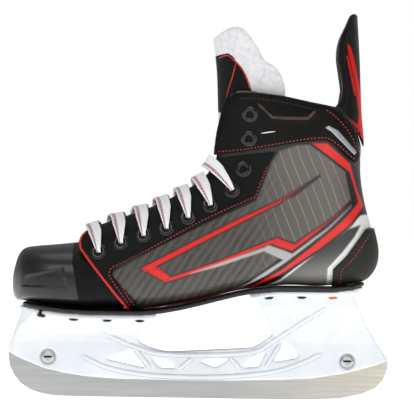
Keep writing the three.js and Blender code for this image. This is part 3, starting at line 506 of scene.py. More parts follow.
def side_distance(points, corners):
    """Distance of [x, z] points from a closed outline, positive inside it."""
    flat = np.asarray(points, float).reshape(-1, 2)
    ring = rounded(corners)
    away = np.full(len(flat), 1e9)
    inside = np.zeros(len(flat), bool)
    for a, b in zip(ring, np.roll(ring, -1, 0)):
        edge = b - a
        t = np.clip((flat - a) @ edge / max(1e-9, edge @ edge), 0, 1)
        away = np.minimum(away, np.linalg.norm(flat - a - t[:, None] * edge, axis=1))
        crosses = (a[1] > flat[:, 1]) != (b[1] > flat[:, 1])
        with np.errstate(divide="ignore", invalid="ignore"):
            at = a[0] + (flat[:, 1] - a[1]) * edge[0] / edge[1]
        inside ^= crosses & (flat[:, 0] < at)
    return np.where(inside, away, -away).reshape(np.asarray(points).shape[:-1])


# ---------------------------------------------------------------- materials

class Finish:
    """A procedural material: a Principled shader and short calls that add nodes to it."""

    def __init__(self, name, colour, roughness, **sockets):
        self.material = bpy.data.materials.new(name)
        self.material.use_nodes = True
        self.tree = self.material.node_tree
        self.shader = self.tree.nodes["Principled BSDF"]
        self.shader.inputs["Base Color"].default_value = (*colour, 1)
        self.shader.inputs["Roughness"].default_value = roughness
        for socket, value in sockets.items():
            self.shader.inputs[socket.replace("_", " ")].default_value = value
        self.place = self.node("ShaderNodeTexCoord").outputs["Object"]
        self.bumped = None

    def node(self, kind, inputs=None, **settings):
        made = self.tree.nodes.new(kind)
        for key, value in settings.items():
            setattr(made, key, value)
        for key, value in (inputs or {}).items():
            self.link(value, made.inputs[key])
        return made

    def link(self, value, socket):
        if isinstance(value, bpy.types.NodeSocket):
            self.tree.links.new(value, socket)
        else:
            socket.default_value = value

    def stretched(self, scale, turn=(0, 0, 0)):
        made = self.node("ShaderNodeMapping", {"Vector": self.place, "Scale": scale})
        made.inputs["Rotation"].default_value = [math.radians(a) for a in turn]
        return made.outputs["Vector"]

    def noise(self, scale, detail=3.0, where=None, rough=0.55):
        made = self.node("ShaderNodeTexNoise", {"Vector": where or self.place})
        made.inputs["Scale"].default_value = scale
        made.inputs["Detail"].default_value = detail
        made.inputs["Roughness"].default_value = rough
        return made.outputs["Fac"]

    def cells(self, scale, where=None, feature="F1"):
        made = self.node("ShaderNodeTexVoronoi", {"Vector": where or self.place}, feature=feature)
        made.inputs["Scale"].default_value = scale
        return made.outputs["Distance"]

    def waves(self, scale, where=None, distortion=0.0, direction="X", profile="SIN"):
        made = self.node("ShaderNodeTexWave", {"Vector": where or self.place},
                         bands_direction=direction, wave_profile=profile)
        made.inputs["Scale"].default_value = scale
        made.inputs["Distortion"].default_value = distortion
        return made.outputs["Fac"]

    def ramp(self, value, low, high, start=0.0, end=1.0):
        made = self.node("ShaderNodeMapRange", {"Value": value}, clamp=True)
        for key, number in zip(("From Min", "From Max", "To Min", "To Max"), (start, end, low, high)):
            made.inputs[key].default_value = number
        return made.outputs["Result"]

    def sum(self, a, b, operation="ADD"):
        made = self.node("ShaderNodeMath", operation=operation)
        self.link(a, made.inputs[0])
        self.link(b, made.inputs[1])
        return made.outputs[0]

    def mix(self, factor, one, other):
        made = self.node("ShaderNodeMix", data_type="RGBA")
        self.link(factor, made.inputs[0])
        self.link(one if isinstance(one, bpy.types.NodeSocket) else (*one, 1), made.inputs[6])
        self.link(other if isinstance(other, bpy.types.NodeSocket) else (*other, 1), made.inputs[7])
        return made.outputs[2]

    def attribute(self, name):
        return self.node("ShaderNodeAttribute", attribute_name=name)

    def colour(self, value):
        self.link(value, self.shader.inputs["Base Color"])

    def roughness(self, value):
        self.link(value, self.shader.inputs["Roughness"])

    def bump(self, height, distance, strength=1.0):
        made = self.node("ShaderNodeBump", {"Height": height})
        made.inputs["Distance"].default_value = distance * MM
        made.inputs["Strength"].default_value = strength
        if self.bumped:
            self.link(self.bumped, made.inputs["Normal"])
        self.bumped = made.outputs["Normal"]
        self.link(self.bumped, self.shader.inputs["Normal"])


def rgb(red, green, blue):
    """Screen colour, 0 to 255, as the shader's linear colour."""
    return tuple((c / 255) ** 2.2 for c in (red, green, blue))


def give(piece, finish):
    piece.data.materials.clear()
    piece.data.materials.append(finish.material)


def white_plastic():
    made = Finish("white_plastic", rgb(243, 245, 248), 0.24, Coat_Weight=0.25, Coat_Roughness=0.12)
    cloudy = made.noise(38, 4)
    made.colour(made.mix(made.ramp(cloudy, 0, 1, 0.35, 0.7), rgb(226, 232, 238), rgb(240, 243, 247)))
    scuffs = made.noise(160, 6, made.stretched((1, 1, 5), (0, 12, 0)), 0.7)
    made.roughness(made.ramp(scuffs, 0.18, 0.38, 0.4, 0.75))
    made.bump(made.noise(900, 2), 0.02, 0.3)
    return made


def ground_steel():
    made = Finish("ground_steel", rgb(196, 194, 190), 0.34, Metallic=1.0, Anisotropic=0.5)
    streaks = made.noise(900, 5, made.stretched((0.02, 1, 1)), 0.7)
    # Painted reflection: the base colour turns from grey to warm beige toward the heel end (+X), standing in
    # for warm surroundings mirrored in the blade.
    along = made.node("ShaderNodeSeparateXYZ", {"Vector": made.place}).outputs["X"]
    painted_reflection_ramp = made.ramp(along, 0, 1, 0.02, 0.14)
    plain = made.mix(painted_reflection_ramp, rgb(192, 193, 193), rgb(222, 215, 200))
    made.colour(made.mix(made.ramp(streaks, 0, 0.45, 0.3, 0.8), plain, rgb(142, 142, 142)))
    made.roughness(made.ramp(streaks, 0.26, 0.5, 0.25, 0.8))
    made.bump(streaks, 0.05, 0.4)
    return made


def bright_steel(name="bright_steel", colour=(205, 204, 202)):
    made = Finish(name, rgb(*colour), 0.25, Metallic=1.0)
    wear = made.noise(1400, 4, None, 0.7)
    made.roughness(made.ramp(wear, 0.16, 0.42, 0.3, 0.7))
    made.colour(made.mix(made.ramp(wear, 0, 0.35, 0.5, 0.8), rgb(*colour), rgb(*[c * 0.62 for c in colour])))
    made.bump(wear, 0.03, 0.4)
    return made


def leather(name, colour, roughness=0.5, grain=0.12, coat=0.0, scale=1.0):
    made = Finish(name, rgb(*colour), roughness, Coat_Weight=coat, Coat_Roughness=0.25,
                  Specular_IOR_Level=0.16)
    pebbles = made.cells(900 * scale)
    creases = made.noise(260 * scale, 6, None, 0.6)
    shade = made.ramp(creases, 0, 0.5, 0.35, 0.75)
    made.colour(made.mix(shade, rgb(*colour), rgb(*[min(255, c * 1.45 + 6) for c in colour])))
    made.roughness(made.ramp(creases, roughness - 0.1, roughness + 0.14, 0.3, 0.7))
    made.bump(pebbles, grain, 0.55)
    made.bump(creases, grain * 1.5, 0.35)
    return made


def painted_leather(name, roughness=0.5):
    """Leather whose colours are on the piece's points."""
    made = leather(name, (34, 32, 28), roughness, 0.14)
    creases = made.noise(240, 6, None, 0.6)
    shown = made.node("ShaderNodeMix", data_type="RGBA", blend_type="MULTIPLY")
    made.link(made.ramp(creases, 0, 1, 0.35, 0.75), shown.inputs[0])
    made.link(made.attribute("paint").outputs["Color"], shown.inputs[6])
    shown.inputs[7].default_value = (*rgb(196, 190, 184), 1)
    made.colour(shown.outputs[2])
    return made


def toe_gloss():
    made = Finish("toe_gloss", rgb(22, 27, 30), 0.38, Coat_Weight=0.2, Coat_Roughness=0.18)
    haze = made.noise(55, 4)
    made.colour(made.mix(made.ramp(haze, 0, 1, 0.3, 0.75), rgb(8, 12, 14), rgb(17, 23, 27)))
    fine = made.noise(1500, 3)
    scuffs = made.noise(320, 7, made.stretched((1, 1, 3.2), (0, 25, 0)), 0.75)
    made.roughness(made.ramp(scuffs, 0.28, 0.5, 0.35, 0.72))
    made.bump(fine, 0.03, 0.35)
    return made


def outsole_finish():
    made = Finish("outsole_finish", rgb(30, 28, 29), 0.5)
    weave = made.waves(330, made.stretched((1, 1, 1), (0, 0, 45)))
    other = made.waves(330, made.stretched((1, 1, 1), (0, 0, -45)))
    check = made.sum(weave, other, "MULTIPLY")
    made.colour(made.mix(check, rgb(24, 23, 24), rgb(46, 43, 43)))
    made.roughness(made.ramp(made.noise(120, 5), 0.38, 0.62, 0.3, 0.7))
    made.bump(check, 0.05, 0.4)
    return made


def printed_panel():
    """The colours are on the piece's points; the carbon stripes come in where alpha is high."""
    made = Finish("printed_panel", rgb(80, 77, 74), 0.4, Coat_Weight=0.15, Coat_Roughness=0.3)
    paint = made.attribute("paint")
    slant = made.stretched((1, 1, 1), (0, -34, 0))
    wide = made.waves(62, slant, 1.6)
    narrow = made.waves(205, slant, 2.2)
    cloth = made.ramp(made.noise(70, 3), 0.0, 1.0, 0.35, 0.65)
    stripe = made.sum(made.ramp(wide, 0, 1, 0.25, 0.9), made.ramp(narrow, 0.45, 1, 0.2, 0.85), "MULTIPLY")
    stripe = made.sum(stripe, made.ramp(cloth, 0.45, 1), "MULTIPLY")
    place = made.node("ShaderNodeSeparateXYZ", {"Vector": made.place})
    rearward = made.ramp(place.outputs["X"], 0, 1, 0.036, 0.062)
    forward = made.sum(1.0, rearward, "SUBTRACT")
    shown = made.sum(made.sum(stripe, forward, "MULTIPLY"), paint.outputs["Alpha"], "MULTIPLY")
    swept = made.stretched((1, 1, 1), (0, 22, 0))
    pins = made.ramp(made.waves(48, swept, 1.1), 0, 0.75, 0.955, 1.0)
    pins = made.sum(made.sum(pins, rearward, "MULTIPLY"), paint.outputs["Alpha"], "MULTIPLY")
    dark = made.node("ShaderNodeMix", data_type="RGBA", blend_type="MULTIPLY")
    made.link(shown, dark.inputs[0])
    made.link(paint.outputs["Color"], dark.inputs[6])
    dark.inputs[7].default_value = (*rgb(112, 104, 97), 1)
    made.colour(made.mix(pins, dark.outputs[2], rgb(150, 136, 118)))
    thread = made.waves(1300, slant, 0.4)
    made.bump(thread, 0.03, 0.3)
    made.bump(made.noise(420, 4), 0.06, 0.3)
    made.roughness(made.ramp(made.noise(210, 5), 0.32, 0.52, 0.3, 0.7))
    return made


def felt(name, colour, shadow, fuzz=0.35):
    made = Finish(name, rgb(*colour), 0.92, Sheen_Weight=0.35, Sheen_Roughness=0.6)
    fibres = made.noise(1100, 8, made.stretched((1, 1, 0.35), (0, 20, 0)), 0.75)
    tufts = made.noise(240, 5)
    blend = made.sum(made.ramp(fibres, 0, 0.7, 0.3, 0.75), made.ramp(tufts, 0, 0.5, 0.35, 0.7))
    made.colour(made.mix(blend, rgb(*colour), rgb(*shadow)))
    made.roughness(made.ramp(fibres, 0.82, 1.0, 0.3, 0.7))
    made.bump(fibres, fuzz, 0.6)
    made.bump(tufts, fuzz * 1.6, 0.45)
    return made


def mesh_lining():
    made = Finish("mesh_lining", rgb(42, 38, 38), 0.85, Sheen_Weight=0.2)
    one = made.waves(420, made.stretched((1, 1, 1), (0, 45, 0)))
    other = made.waves(420, made.stretched((1, 1, 1), (0, -45, 0)))
    net = made.sum(one, other, "MULTIPLY")
    made.colour(made.mix(net, rgb(26, 24, 25), rgb(62, 56, 54)))
    made.roughness(made.ramp(made.noise(300, 4), 0.75, 0.95, 0.3, 0.7))
    made.bump(net, 0.14, 0.7)
    return made


def thread_finish(name, colour):
    made = Finish(name, rgb(*colour), 0.6, Sheen_Weight=0.25)
    twist = made.waves(900, made.stretched((1, 1, 1), (0, 40, 30)))
    made.colour(made.mix(made.ramp(twist, 0, 0.6), rgb(*colour), rgb(*[c * 0.55 for c in colour])))
    made.bump(twist, 0.08, 0.6)
    return made


def satin_strip(name, colour, metallic=0.0, roughness=0.35):
    made = Finish(name, rgb(*colour), roughness, Metallic=metallic)
    drift = made.noise(180, 5)
    made.colour(made.mix(made.ramp(drift, 0, 0.6, 0.3, 0.75), rgb(*colour), rgb(*[c * 0.8 for c in colour])))
    made.roughness(made.ramp(made.noise(700, 4), roughness - 0.08, roughness + 0.12, 0.3, 0.7))
    made.bump(made.noise(900, 3), 0.03, 0.4)
    return made


def lace_finish():
    """along and across are on the lace's points, in millimetres."""
    made = Finish("lace_finish", rgb(240, 240, 246), 0.8, Sheen_Weight=0.3)
    part = made.node("ShaderNodeSeparateXYZ", {"Vector": made.attribute("weave").outputs["Vector"]})
    along, across = part.outputs["X"], part.outputs["Y"]
    def lines(angle, pitch):
        a = made.sum(along, math.cos(math.radians(angle)) / pitch * 2 * math.pi, "MULTIPLY")
        b = made.sum(across, math.sin(math.radians(angle)) / pitch * 2 * math.pi, "MULTIPLY")
        return made.sum(made.sum(a, b), 0.0, "SINE")
    one, other = lines(38, 0.95), lines(-38, 0.95)
    knit = made.sum(made.ramp(one, 0, 1, -1, 1), made.ramp(other, 0, 1, -1, 1), "MAXIMUM")
    tracer = made.ramp(made.sum(made.sum(across, 1.9, "SUBTRACT"), 0.0, "ABSOLUTE"), 1, 0, 0.75, 1.0)
    dash = lines(35, 2.4)
    red = made.sum(tracer, made.ramp(dash, 0, 1, 0.15, 0.4), "MULTIPLY")
    black = made.sum(tracer, made.ramp(dash, 1, 0, -0.75, -0.45), "MULTIPLY")
    cloth = made.mix(made.ramp(knit, 0.8, 0, 0.2, 0.9), rgb(255, 255, 255), rgb(224, 224, 234))
    cloth = made.mix(red, cloth, rgb(196, 60, 66))
    made.colour(made.mix(black, cloth, rgb(40, 36, 44)))
    made.roughness(made.ramp(knit, 0.9, 0.7))
    made.bump(knit, 0.22, 0.7)
    return made


def floor_finish():
    made = Finish("floor_finish", (0.93, 0.93, 0.93), 0.8, Emission_Strength=0.84)
    made.shader.inputs["Emission Color"].default_value = (1, 1, 1, 1)
    made.colour(made.mix(made.noise(6, 2), (0.92, 0.92, 0.92), (0.95, 0.95, 0.95)))
    return made


# ---------------------------------------------------------------- the printed side

GREY_PANEL = [
    [-50, 65], [-64, 92], [-53, 98.5], [-22, 116], [7, 130.5], [40, 146], [45.5, 159], [51, 174],
    [57, 183], [69, 187], [79.5, 188], [88, 183.5], [100, 174.5], [105, 168.5], [109.5, 148.5],
    [93, 132], [75, 119], [52, 100], [24, 80], [9, 77.5], [-18, 72],
]
CHEVRON = [
    [[-43, 96], [-4, 116.6], [28, 133], [57, 146.7], [75, 157.6], [57, 145], [28, 129.6], [-4, 112.6],
     [-32, 97.4], [-21.5, 90.4], [-24.5, 86]],
    [[-24.5, 86], [12, 98.4], [50, 114.8], [52, 115], [67, 110.2], [81, 121], [110, 145.4], [92.5, 131.6],
     [76, 120.4], [69, 115], [56, 119.4], [50, 117.2], [12, 101.4], [-22, 89.4]],
]
CHEVRON_TIP = [[62, 148.8], [86, 165.2], [68, 151]]
SILVER_EDGES = [
    [-7, 92.6], [46.5, 112.2], [49.6, 114], [67.3, 108], [92.5, 127], [110, 143.5], [92.5, 125.6],
    [64, 103], [44.4, 89.2], [22.8, 79.6], [36, 86.4], [61, 103.5], [46.5, 109.8], [12, 97.6],
]
HEEL_WEDGE = [
    [42, 79], [59, 87.3], [92.7, 115], [108, 126.6], [117, 129.8], [112.5, 121], [104, 110], [93.2, 98],
    [92.6, 78],
]
HEEL_WHITE = [
    [37, 79], [59, 89], [92.6, 116.8], [109.5, 130], [117.3, 136.8], [134, 139.4], [134, 131.4],
    [121.3, 127.2],
    [115.2, 118.6], [107, 107.2], [97.6, 97.4], [97.4, 78],
]
RED_SWEEP = [
    [80, 189], [89.5, 182.3], [108.4, 168.4], [112.7, 155.2], [115.2, 147.3], [114.3, 145], [103.7, 132.5],
    [81.4, 113.5], [59, 95.7], [30, 79.6], [35, 80.6], [59, 92.9], [87, 111.9], [109.5, 130.3],
    [118.3, 142.3], [119, 145], [114.7, 155.2], [108.8, 174.5], [91.5, 189],
]
INK = {
    "black": rgb(16, 15, 16), "grey": rgb(78, 75, 70), "pale": rgb(96, 92, 88),
    "red": rgb(222, 28, 22), "silver": rgb(176, 174, 172), "white": rgb(228, 228, 228),
}
SOFT_EDGE = 0.65


def over(colours, mask, ink):
    return colours + (np.asarray(ink) - colours) * mask[:, None]


def covers(spots, corners, grow=0.0):
    return smoothstep(side_distance(spots, corners) + grow, -SOFT_EDGE, SOFT_EDGE)


def side_spots(piece):
    flat = np.zeros(len(piece.data.vertices) * 3)
    piece.data.vertices.foreach_get("co", flat)
    return flat.reshape(-1, 3)[:, [0, 2]] / MM


def paint(piece, colours, alpha):
    layer = piece.data.color_attributes.new("paint", "FLOAT_COLOR", "POINT")
    layer.data.foreach_set("color", np.column_stack([colours, alpha]).astype(np.float32).ravel())


def print_side(piece):
    """Colours the quarter's points: grey panel, red lines with black edges, silver and white."""
    spots = side_spots(piece)
    colours = np.tile(np.array(INK["black"]), (len(spots), 1))
    panel = covers(spots, GREY_PANEL)
    light = smoothstep(spots[:, 0] + 0.4 * spots[:, 1], 40, 170)[:, None]
    grey = np.array(INK["grey"]) * (1 - light) + np.array(INK["pale"]) * light
    colours = colours + (grey - colours) * panel[:, None]
    for shape in (*CHEVRON, CHEVRON_TIP):
        colours = over(colours, covers(spots, shape, 1.0), INK["black"])
    for shape in CHEVRON:
        colours = over(colours, covers(spots, shape, -0.15), INK["red"])
    colours = over(colours, covers(spots, HEEL_WHITE, 1.2), INK["black"])
    colours = over(colours, covers(spots, HEEL_WHITE), INK["white"])
    fade = smoothstep(spots[:, 1] - 0.25 * spots[:, 0], 62, 92)[:, None]
    metal = np.array(rgb(138, 135, 131)) * (1 - fade) + np.array(rgb(48, 46, 43)) * fade
    colours = colours + (metal - colours) * covers(spots, HEEL_WEDGE, 0.2)[:, None]
    colours = over(colours, covers(spots, SILVER_EDGES, 0.1), INK["silver"])
    colours = over(colours, covers(spots, RED_SWEEP, 1.8), INK["black"])
    colours = over(colours, covers(spots, RED_SWEEP, -0.1), INK["red"])
    stripes = panel
    plain = np.abs(colours - grey).max(1) < 0.02
    paint(piece, colours, stripes * plain)


# ---------------------------------------------------------------- boot pieces

HALF_STEPS = {"fine": 220, "plain": 70}
ALONG_STEPS = {"fine": 480, "plain": 150}


def boot_sheet(name, outer, inner, side=0, quality="plain", low=0.0, high=BOOT_TOP_SECTION):
    alongs = np.linspace(low, high, ALONG_STEPS[quality])
    if side == 0:
        rounds = np.linspace(-1, 1, 2 * HALF_STEPS[quality])
    else:
        rounds = np.linspace(0, side, HALF_STEPS[quality])
    return between(name, boot.grid(alongs, rounds, outer), boot.grid(alongs, rounds, inner))


def sole_block():
    xs = np.linspace(-140, 135, 80)
    low = [[x, float(sole_line(x)) - 20] for x in xs]
    high = [[x, float(sole_line(x)) + SOLE_TOP] for x in xs[::-1]]
    return across_y(low + high)


CUFF_EMBOSS = [[43, 214.5], [53, 205], [77, 205], [85, 213]]
TOE_EMBOSS = [[-130, 81.5], [-127.5, 88.5], [-118, 91], [-99.5, 95.5], [-97, 80.5]]


def cuff_relief(points):
    away = side_distance(points[..., [0, 2]], CUFF_EMBOSS)
    return -1.3 * smoothstep(away, -0.6, 0.8)


def toe_relief(points):
    away = side_distance(points[..., [0, 2]], TOE_EMBOSS)
    return 0.9 * smoothstep(away, -0.5, 0.9) * (np.abs(points[..., 1]) > 12)


def make_quarter(side_name):
    side = SIDES[side_name]
    piece = boot_sheet(f"shell_{side_name}", SHELL_DEPTH, SHELL_DEPTH + SHELL_THICK, side, "fine")
    cut(piece, across_y(BOOT_REGION))
    cut(piece, half_space(side))
    print_side(piece)
    smooth(piece)
    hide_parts(f"quarter_{side_name}")
    return piece


def make_overlay(kind, region, side_name, outer=0.0, inner=OVERLAY_THICK):
    side = SIDES[side_name]
    piece = boot_sheet(f"{kind}_panel_{side_name}", outer, inner, side)
    for tool in (across_y(region), across_y(BOOT_REGION), half_space(side)):
        cut(piece, tool)
    cut(piece, sole_block(), "DIFFERENCE")
    soften(piece, 0.7, 2)
    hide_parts(f"{kind}_{side_name}")
    return piece


def toe_rings(low, high, steps, depth):
    rounds = np.linspace(1, -1, 240)[:-1]
    return toe.grid(np.linspace(low, high, steps), rounds, depth)


def make_toe_cap():
    piece = loft("toe_shell", toe_rings(0, 7, 130, toe_relief))
    cut(piece, loft("tool", toe_rings(0.9, 7.4, 60, TOE_CAP_THICK)), "DIFFERENCE")
    cut(piece, across_y(CAP_REGION))
    smooth(piece, 30)
    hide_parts("toe_cap")
    return piece


def rib_relief(points):
    """The ribbed band behind the toe cap, five low ribs that lean with its edge."""
    x = points[..., 0] + (points[..., 2] - 82) * 0.12
    height = smoothstep(points[..., 2], 64, 68) * smoothstep(-points[..., 2], -98, -94)
    band = smoothstep(x, -89.5, -88.5) * smoothstep(-x, 76.5, 77.5) * height
    ribs = 0.5 + 0.5 * np.cos((x + 83) * 2 * math.pi / 2.6)
    return -band * (0.25 + 0.45 * ribs)


def make_vamp():
    piece = loft("vamp_panel", toe_rings(5, 7.6, 90, rib_relief))
    cut(piece, loft("tool", toe_rings(4.5, 8, 60, TOE_CAP_THICK)), "DIFFERENCE")
    cut(piece, across_y(VAMP_REGION))
    smooth(piece, 40)
    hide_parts("vamp")
    return piece


def make_liner():
    depth = SHELL_DEPTH + SHELL_THICK + GAP
    piece = boot_sheet("inner_lining", depth, depth + LINER_THICK, 0, "plain")
    cut(piece, across_y(LINER_REGION))
    soften(piece, 0.9, 4)
    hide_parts("liner")
    return piece


GUARD_SHELL_THICK = 2.4
GUARD_PAD_THICK = 5.0
# Outline of the painted shade in the hollow behind the guard's padded roll.
GUARD_GROOVE_SHADE = [
    [103.5, 214], [106.5, 222], [106.2, 236], [103.6, 247], [104.6, 262], [106.5, 262.5], [112, 243],
    [115, 226], [113.5, 212], [108.5, 206.5],
]
GUARD_RED = [
    ([[105.8, 262], [108.2, 259], [111.8, 246], [115.6, 228], [118.4, 208], [118.6, 194], [116.8, 194.6],
      [106.8, 207.4], [114.6, 202.4], [115.4, 212], [113.4, 224], [110, 240], [107.4, 251]], 0.35),
    ([[105, 253.5], [106.2, 252], [110, 238], [112.8, 225], [111.6, 225], [108.6, 238]], 0.2),
]


def print_guard(piece):
    """Colours the guard's points: painted shade, near black, in the groove behind its padded edge, and red
    lines.
    """
    spots = side_spots(piece)
    colours = np.tile(np.array(rgb(30, 28, 25)), (len(spots), 1))
    # Painted shade: the strip behind the padded roll is darkened to near black, where the roll would shade
    # it.
    colours = over(colours, covers(spots, GUARD_GROOVE_SHADE), rgb(14, 14, 14))
    for shape, grow in GUARD_RED:
        colours = over(colours, covers(spots, shape, grow + 0.8), rgb(14, 14, 14))
        colours = over(colours, covers(spots, shape, grow), INK["red"])
    paint(piece, colours, np.zeros(len(spots)))


def make_guard():
    alongs = np.linspace(GUARD_FIRST_SECTION, 16, 110)
    rounds = np.linspace(-0.5, 0.5, 120)
    pad_depth = GUARD_SHELL_THICK + GAP
    layers = {
        "guard_shell": (0, GUARD_SHELL_THICK),
        "guard_padding": (pad_depth, pad_depth + GUARD_PAD_THICK),
    }
    made = {}
    for name, (outer, inner) in layers.items():
        piece = between(name, boot.grid(alongs, rounds, outer), boot.grid(alongs, rounds, inner))
        cut(piece, across_y(GUARD_REGION))
        soften(piece, 0.7, 3)
        made[name] = piece
    print_guard(made["guard_shell"])
    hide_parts("tendon_guard")
    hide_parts("tendon_guard_pad")
    return made


# ---------------------------------------------------------------- tongue

WING_HALF, WING_REACH = 29.0, 51.0
TONGUE_FRONT = [[15, 168], [13.2, 185], [11.8, 205], [11, 225], [10, 243], [8, 258], [6.3, 268], [6, 280]]
TONGUE_SIDE = [
    [0, 173], [40, 173], [40, 226.6], [61, 226.6], [60.6, 230.4], [58.5, 237.4, 3],
    [54.4, 244.6, 3], [45.2, 249.4, 3], [40.1, 258.4], [31.9, 270.3, 3], [26.8, 273.8, 3],
    [19.7, 273.7, 3], [12.7, 269.6, 3], [4.5, 263.6, 3], [4.5, 254, 3], [0, 251],
]
TONGUE_END = [
    [-18.5, 173], [18.5, 173], [18.5, 226.6], [50, 226.6], [50, 290], [-50, 290], [-50, 226.6],
    [-18.5, 226.6],
]
WING_SKIRT = [[40, 229], [40, 225], [61.4, 221], [61, 229]]
COVER_SIDE = [
    [0, 211], [36, 211], [36, 226.8], [33.5, 235.5], [29, 244.3], [21.5, 252.7], [17.7, 254.6], [0, 250.5],
]


def tongue_grid(depth, rows=90, columns=110):
    up, over_top = np.linspace(0, len(TONGUE_FRONT) - 1, rows), np.linspace(1, -1, columns)
    at, around = np.meshgrid(up, over_top, indexing="ij")
    front = spline(TONGUE_FRONT, at)
    turn = around * math.pi / 2
    x = front[..., 0] + WING_REACH * (1 - np.cos(turn))
    points = np.stack([x, WING_HALF * np.sin(turn), front[..., 1]], -1)
    out = np.stack([-np.cos(turn) * WING_HALF, np.sin(turn) * WING_REACH, np.zeros_like(turn)], -1)
    out /= np.linalg.norm(out, axis=-1, keepdims=True)
    return points - out * depth


def tongue_part(name, outer, inner, side_outline):
    piece = between(name, tongue_grid(outer), tongue_grid(inner))
    cut(piece, along_x(TONGUE_END, -10, 70))
    cut(piece, across_y(side_outline))
    return piece


def make_tongue():
    felt_part = tongue_part("tongue_felt", 0, COVER_THICK + TONGUE_THICK, TONGUE_SIDE)
    skirt = between("tool", tongue_grid(0), tongue_grid(COVER_THICK + TONGUE_THICK))
    cut(skirt, across_y(WING_SKIRT))
    cut(felt_part, skirt, "UNION")
    recess = between("tool", tongue_grid(-2), tongue_grid(COVER_THICK + GAP))
    cut(recess, across_y([[x - 0.3 if x < 1 else x + 0.3, z, *more] for x, z, *more in COVER_SIDE]))
    cut(felt_part, recess, "DIFFERENCE")
    soften(felt_part, 1.1, 5)
    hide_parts("tongue_upper")
    cover = tongue_part("tongue_front_cover", 0, COVER_THICK, COVER_SIDE)
    soften(cover, 0.6, 2)
    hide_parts("tongue_cover")
    return felt_part, cover


def make_lower_tongue():
    alongs = np.linspace(0.75, 4.25, 70)
    lateral, medial = boot.point(alongs, -1.0), boot.point(alongs, 1.0)
    ahead = boot.point(alongs + 0.05, 1.0) - boot.point(alongs - 0.05, 1.0)
    ahead[:, 1] = 0
    ahead /= np.linalg.norm(ahead, axis=1, keepdims=True)
    inward = np.column_stack([ahead[:, 2], np.zeros(len(alongs)), -ahead[:, 0]])[:, None, :]
    across = np.linspace(1, -1, 60)[None, :, None]
    middle = lateral[:, None] + (medial - lateral)[:, None] * (0.5 + across * 0.62)
    outer = middle + inward * (12.5 + across**2 * 2.5)
    piece = between("tongue_under_laces", outer, outer + inward * TONGUE_THICK)
    soften(piece, 1.0, 3)
    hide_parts("tongue_lower")
    return piece


# ---------------------------------------------------------------- eyelets and lace

EYELET_HOLE_R, EYELET_BARREL_R, EYELET_FLANGE_R = 2.4, 3.2, 6.0
LACED_PAIRS = 7
LACE_WIDE, LACE_NARROW, LACE_THICK = 7.5, 3.4, 1.3
LACE_SPREAD = 10.0
LACE_OVER_EDGE, LACE_OVER_FACING, LACE_OVER_EYELET = 3.4, 3.6, 2.9
LACE_IN_EYELET, LACE_UNDER_EYELET, LACE_UNDER_LINER, LACE_UNDER_THROAT = -2, -7.6, -8, -4.4
LACE_FROM_THROAT = 7.8
FIRST_BAR_HEIGHT, BAR_HEIGHTS = 1.6, {-1: 0.4, 1: 2.6}
EDGE_ROUND = 0.985


def find_eyelets():
    found = []
    for side_name, side in SIDES.items():
        for i, seen in enumerate(EYELET_PLACES):
            along, around = seen_at(seen, side)
            found.append({
                "name": f"eyelet_{side_name}_{i + 1:02d}", "side": side, "number": i, "along": along,
                "round": around, "place": boot.point(along, around), "aim": boot.normal(along, around),
            })
    return found


def make_eyelet(eyelet):
    foot = -SHELL_DEPTH - SHELL_THICK
    middle = (EYELET_HOLE_R + EYELET_FLANGE_R) / 2
    lip = [(EYELET_HOLE_R, 0.9), (EYELET_HOLE_R + 0.3, 1.3), (middle, 1.55), (EYELET_FLANGE_R - 0.5, 1.15),
           (EYELET_FLANGE_R, 0.75), (EYELET_FLANGE_R, 0.5)]
    profile = [(EYELET_HOLE_R, foot), *lip, (EYELET_BARREL_R, 0.5), (EYELET_BARREL_R, foot)]
    piece = closed_ring(f"grommet_{eyelet['name'][7:]}", profile, 36, eyelet["place"], eyelet["aim"])
    smooth(piece, 45)
    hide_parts(eyelet["name"])
    return piece


def unit(v):
    return v / max(1e-9, np.linalg.norm(v))


def lerp(a, b, t):
    return a + (b - a) * t


def lace_half(eyelets, first_side):
    stops = []
    face = 1

    def add(place, look, width):
        stops.append((place, look * face, width))

    def over_boot(along, around, height):
        return boot.point(along, around) + boot.normal(along, around) * height

    def middle_of(along, height):
        return lerp(boot.point(along, 1.0), boot.point(along, -1.0), 0.5) + boot.normal(along, 0.999) * height

    up = np.array([0, 0, 1.0])
    side = first_side
    by_place = {(e["side"], e["number"]): e for e in eyelets}
    for number in range(LACED_PAIRS):
        here = by_place[side, number]
        along, part = here["along"], abs(here["round"])
        before = along - 0.3 if number == 0 else eyelets[number - 1]["along"]
        edge = lerp(before, along, 0 if number == 0 else 0.72)
        if number == 0:
            add(middle_of(edge, FIRST_BAR_HEIGHT), up, LACE_WIDE)
        by_edge = side * EDGE_ROUND
        add(over_boot(edge, by_edge, LACE_OVER_EDGE), boot.normal(edge, by_edge), LACE_SPREAD)
        outside = side * lerp(part, 1, 0.4)
        add(over_boot(lerp(edge, along, 0.6), outside, LACE_OVER_FACING), here["aim"], LACE_SPREAD * 0.94)
        toward = unit(boot.point(along, side * (part + 0.02)) - here["place"])
        place, aim = here["place"], here["aim"]
        add(place + aim * LACE_OVER_EYELET + toward * 1.2, aim, LACE_NARROW)
        add(place + aim * LACE_IN_EYELET, -toward, LACE_NARROW)
        add(place + aim * LACE_UNDER_EYELET + toward * 0.8, -aim, LACE_NARROW)
        inner = lerp(part, 1, 0.5)
        if number + 1 < LACED_PAIRS:
            under = side * inner
            add(over_boot(along + 0.05, under, LACE_UNDER_LINER), -boot.normal(along, under), LACE_WIDE)
            following = eyelets[number + 1]["along"]
            out = lerp(along, following, 0.3)
            rise = middle_of(out, LACE_UNDER_THROAT)
            rise[1] += side * (abs(boot.point(out, 1.0)[1] - rise[1]) - LACE_FROM_THROAT)
            add(rise, -up, LACE_WIDE)
            add(middle_of(lerp(along, following, 0.5), BAR_HEIGHTS[first_side]), -up, LACE_WIDE)
        side, face = -side, -face
    return stops


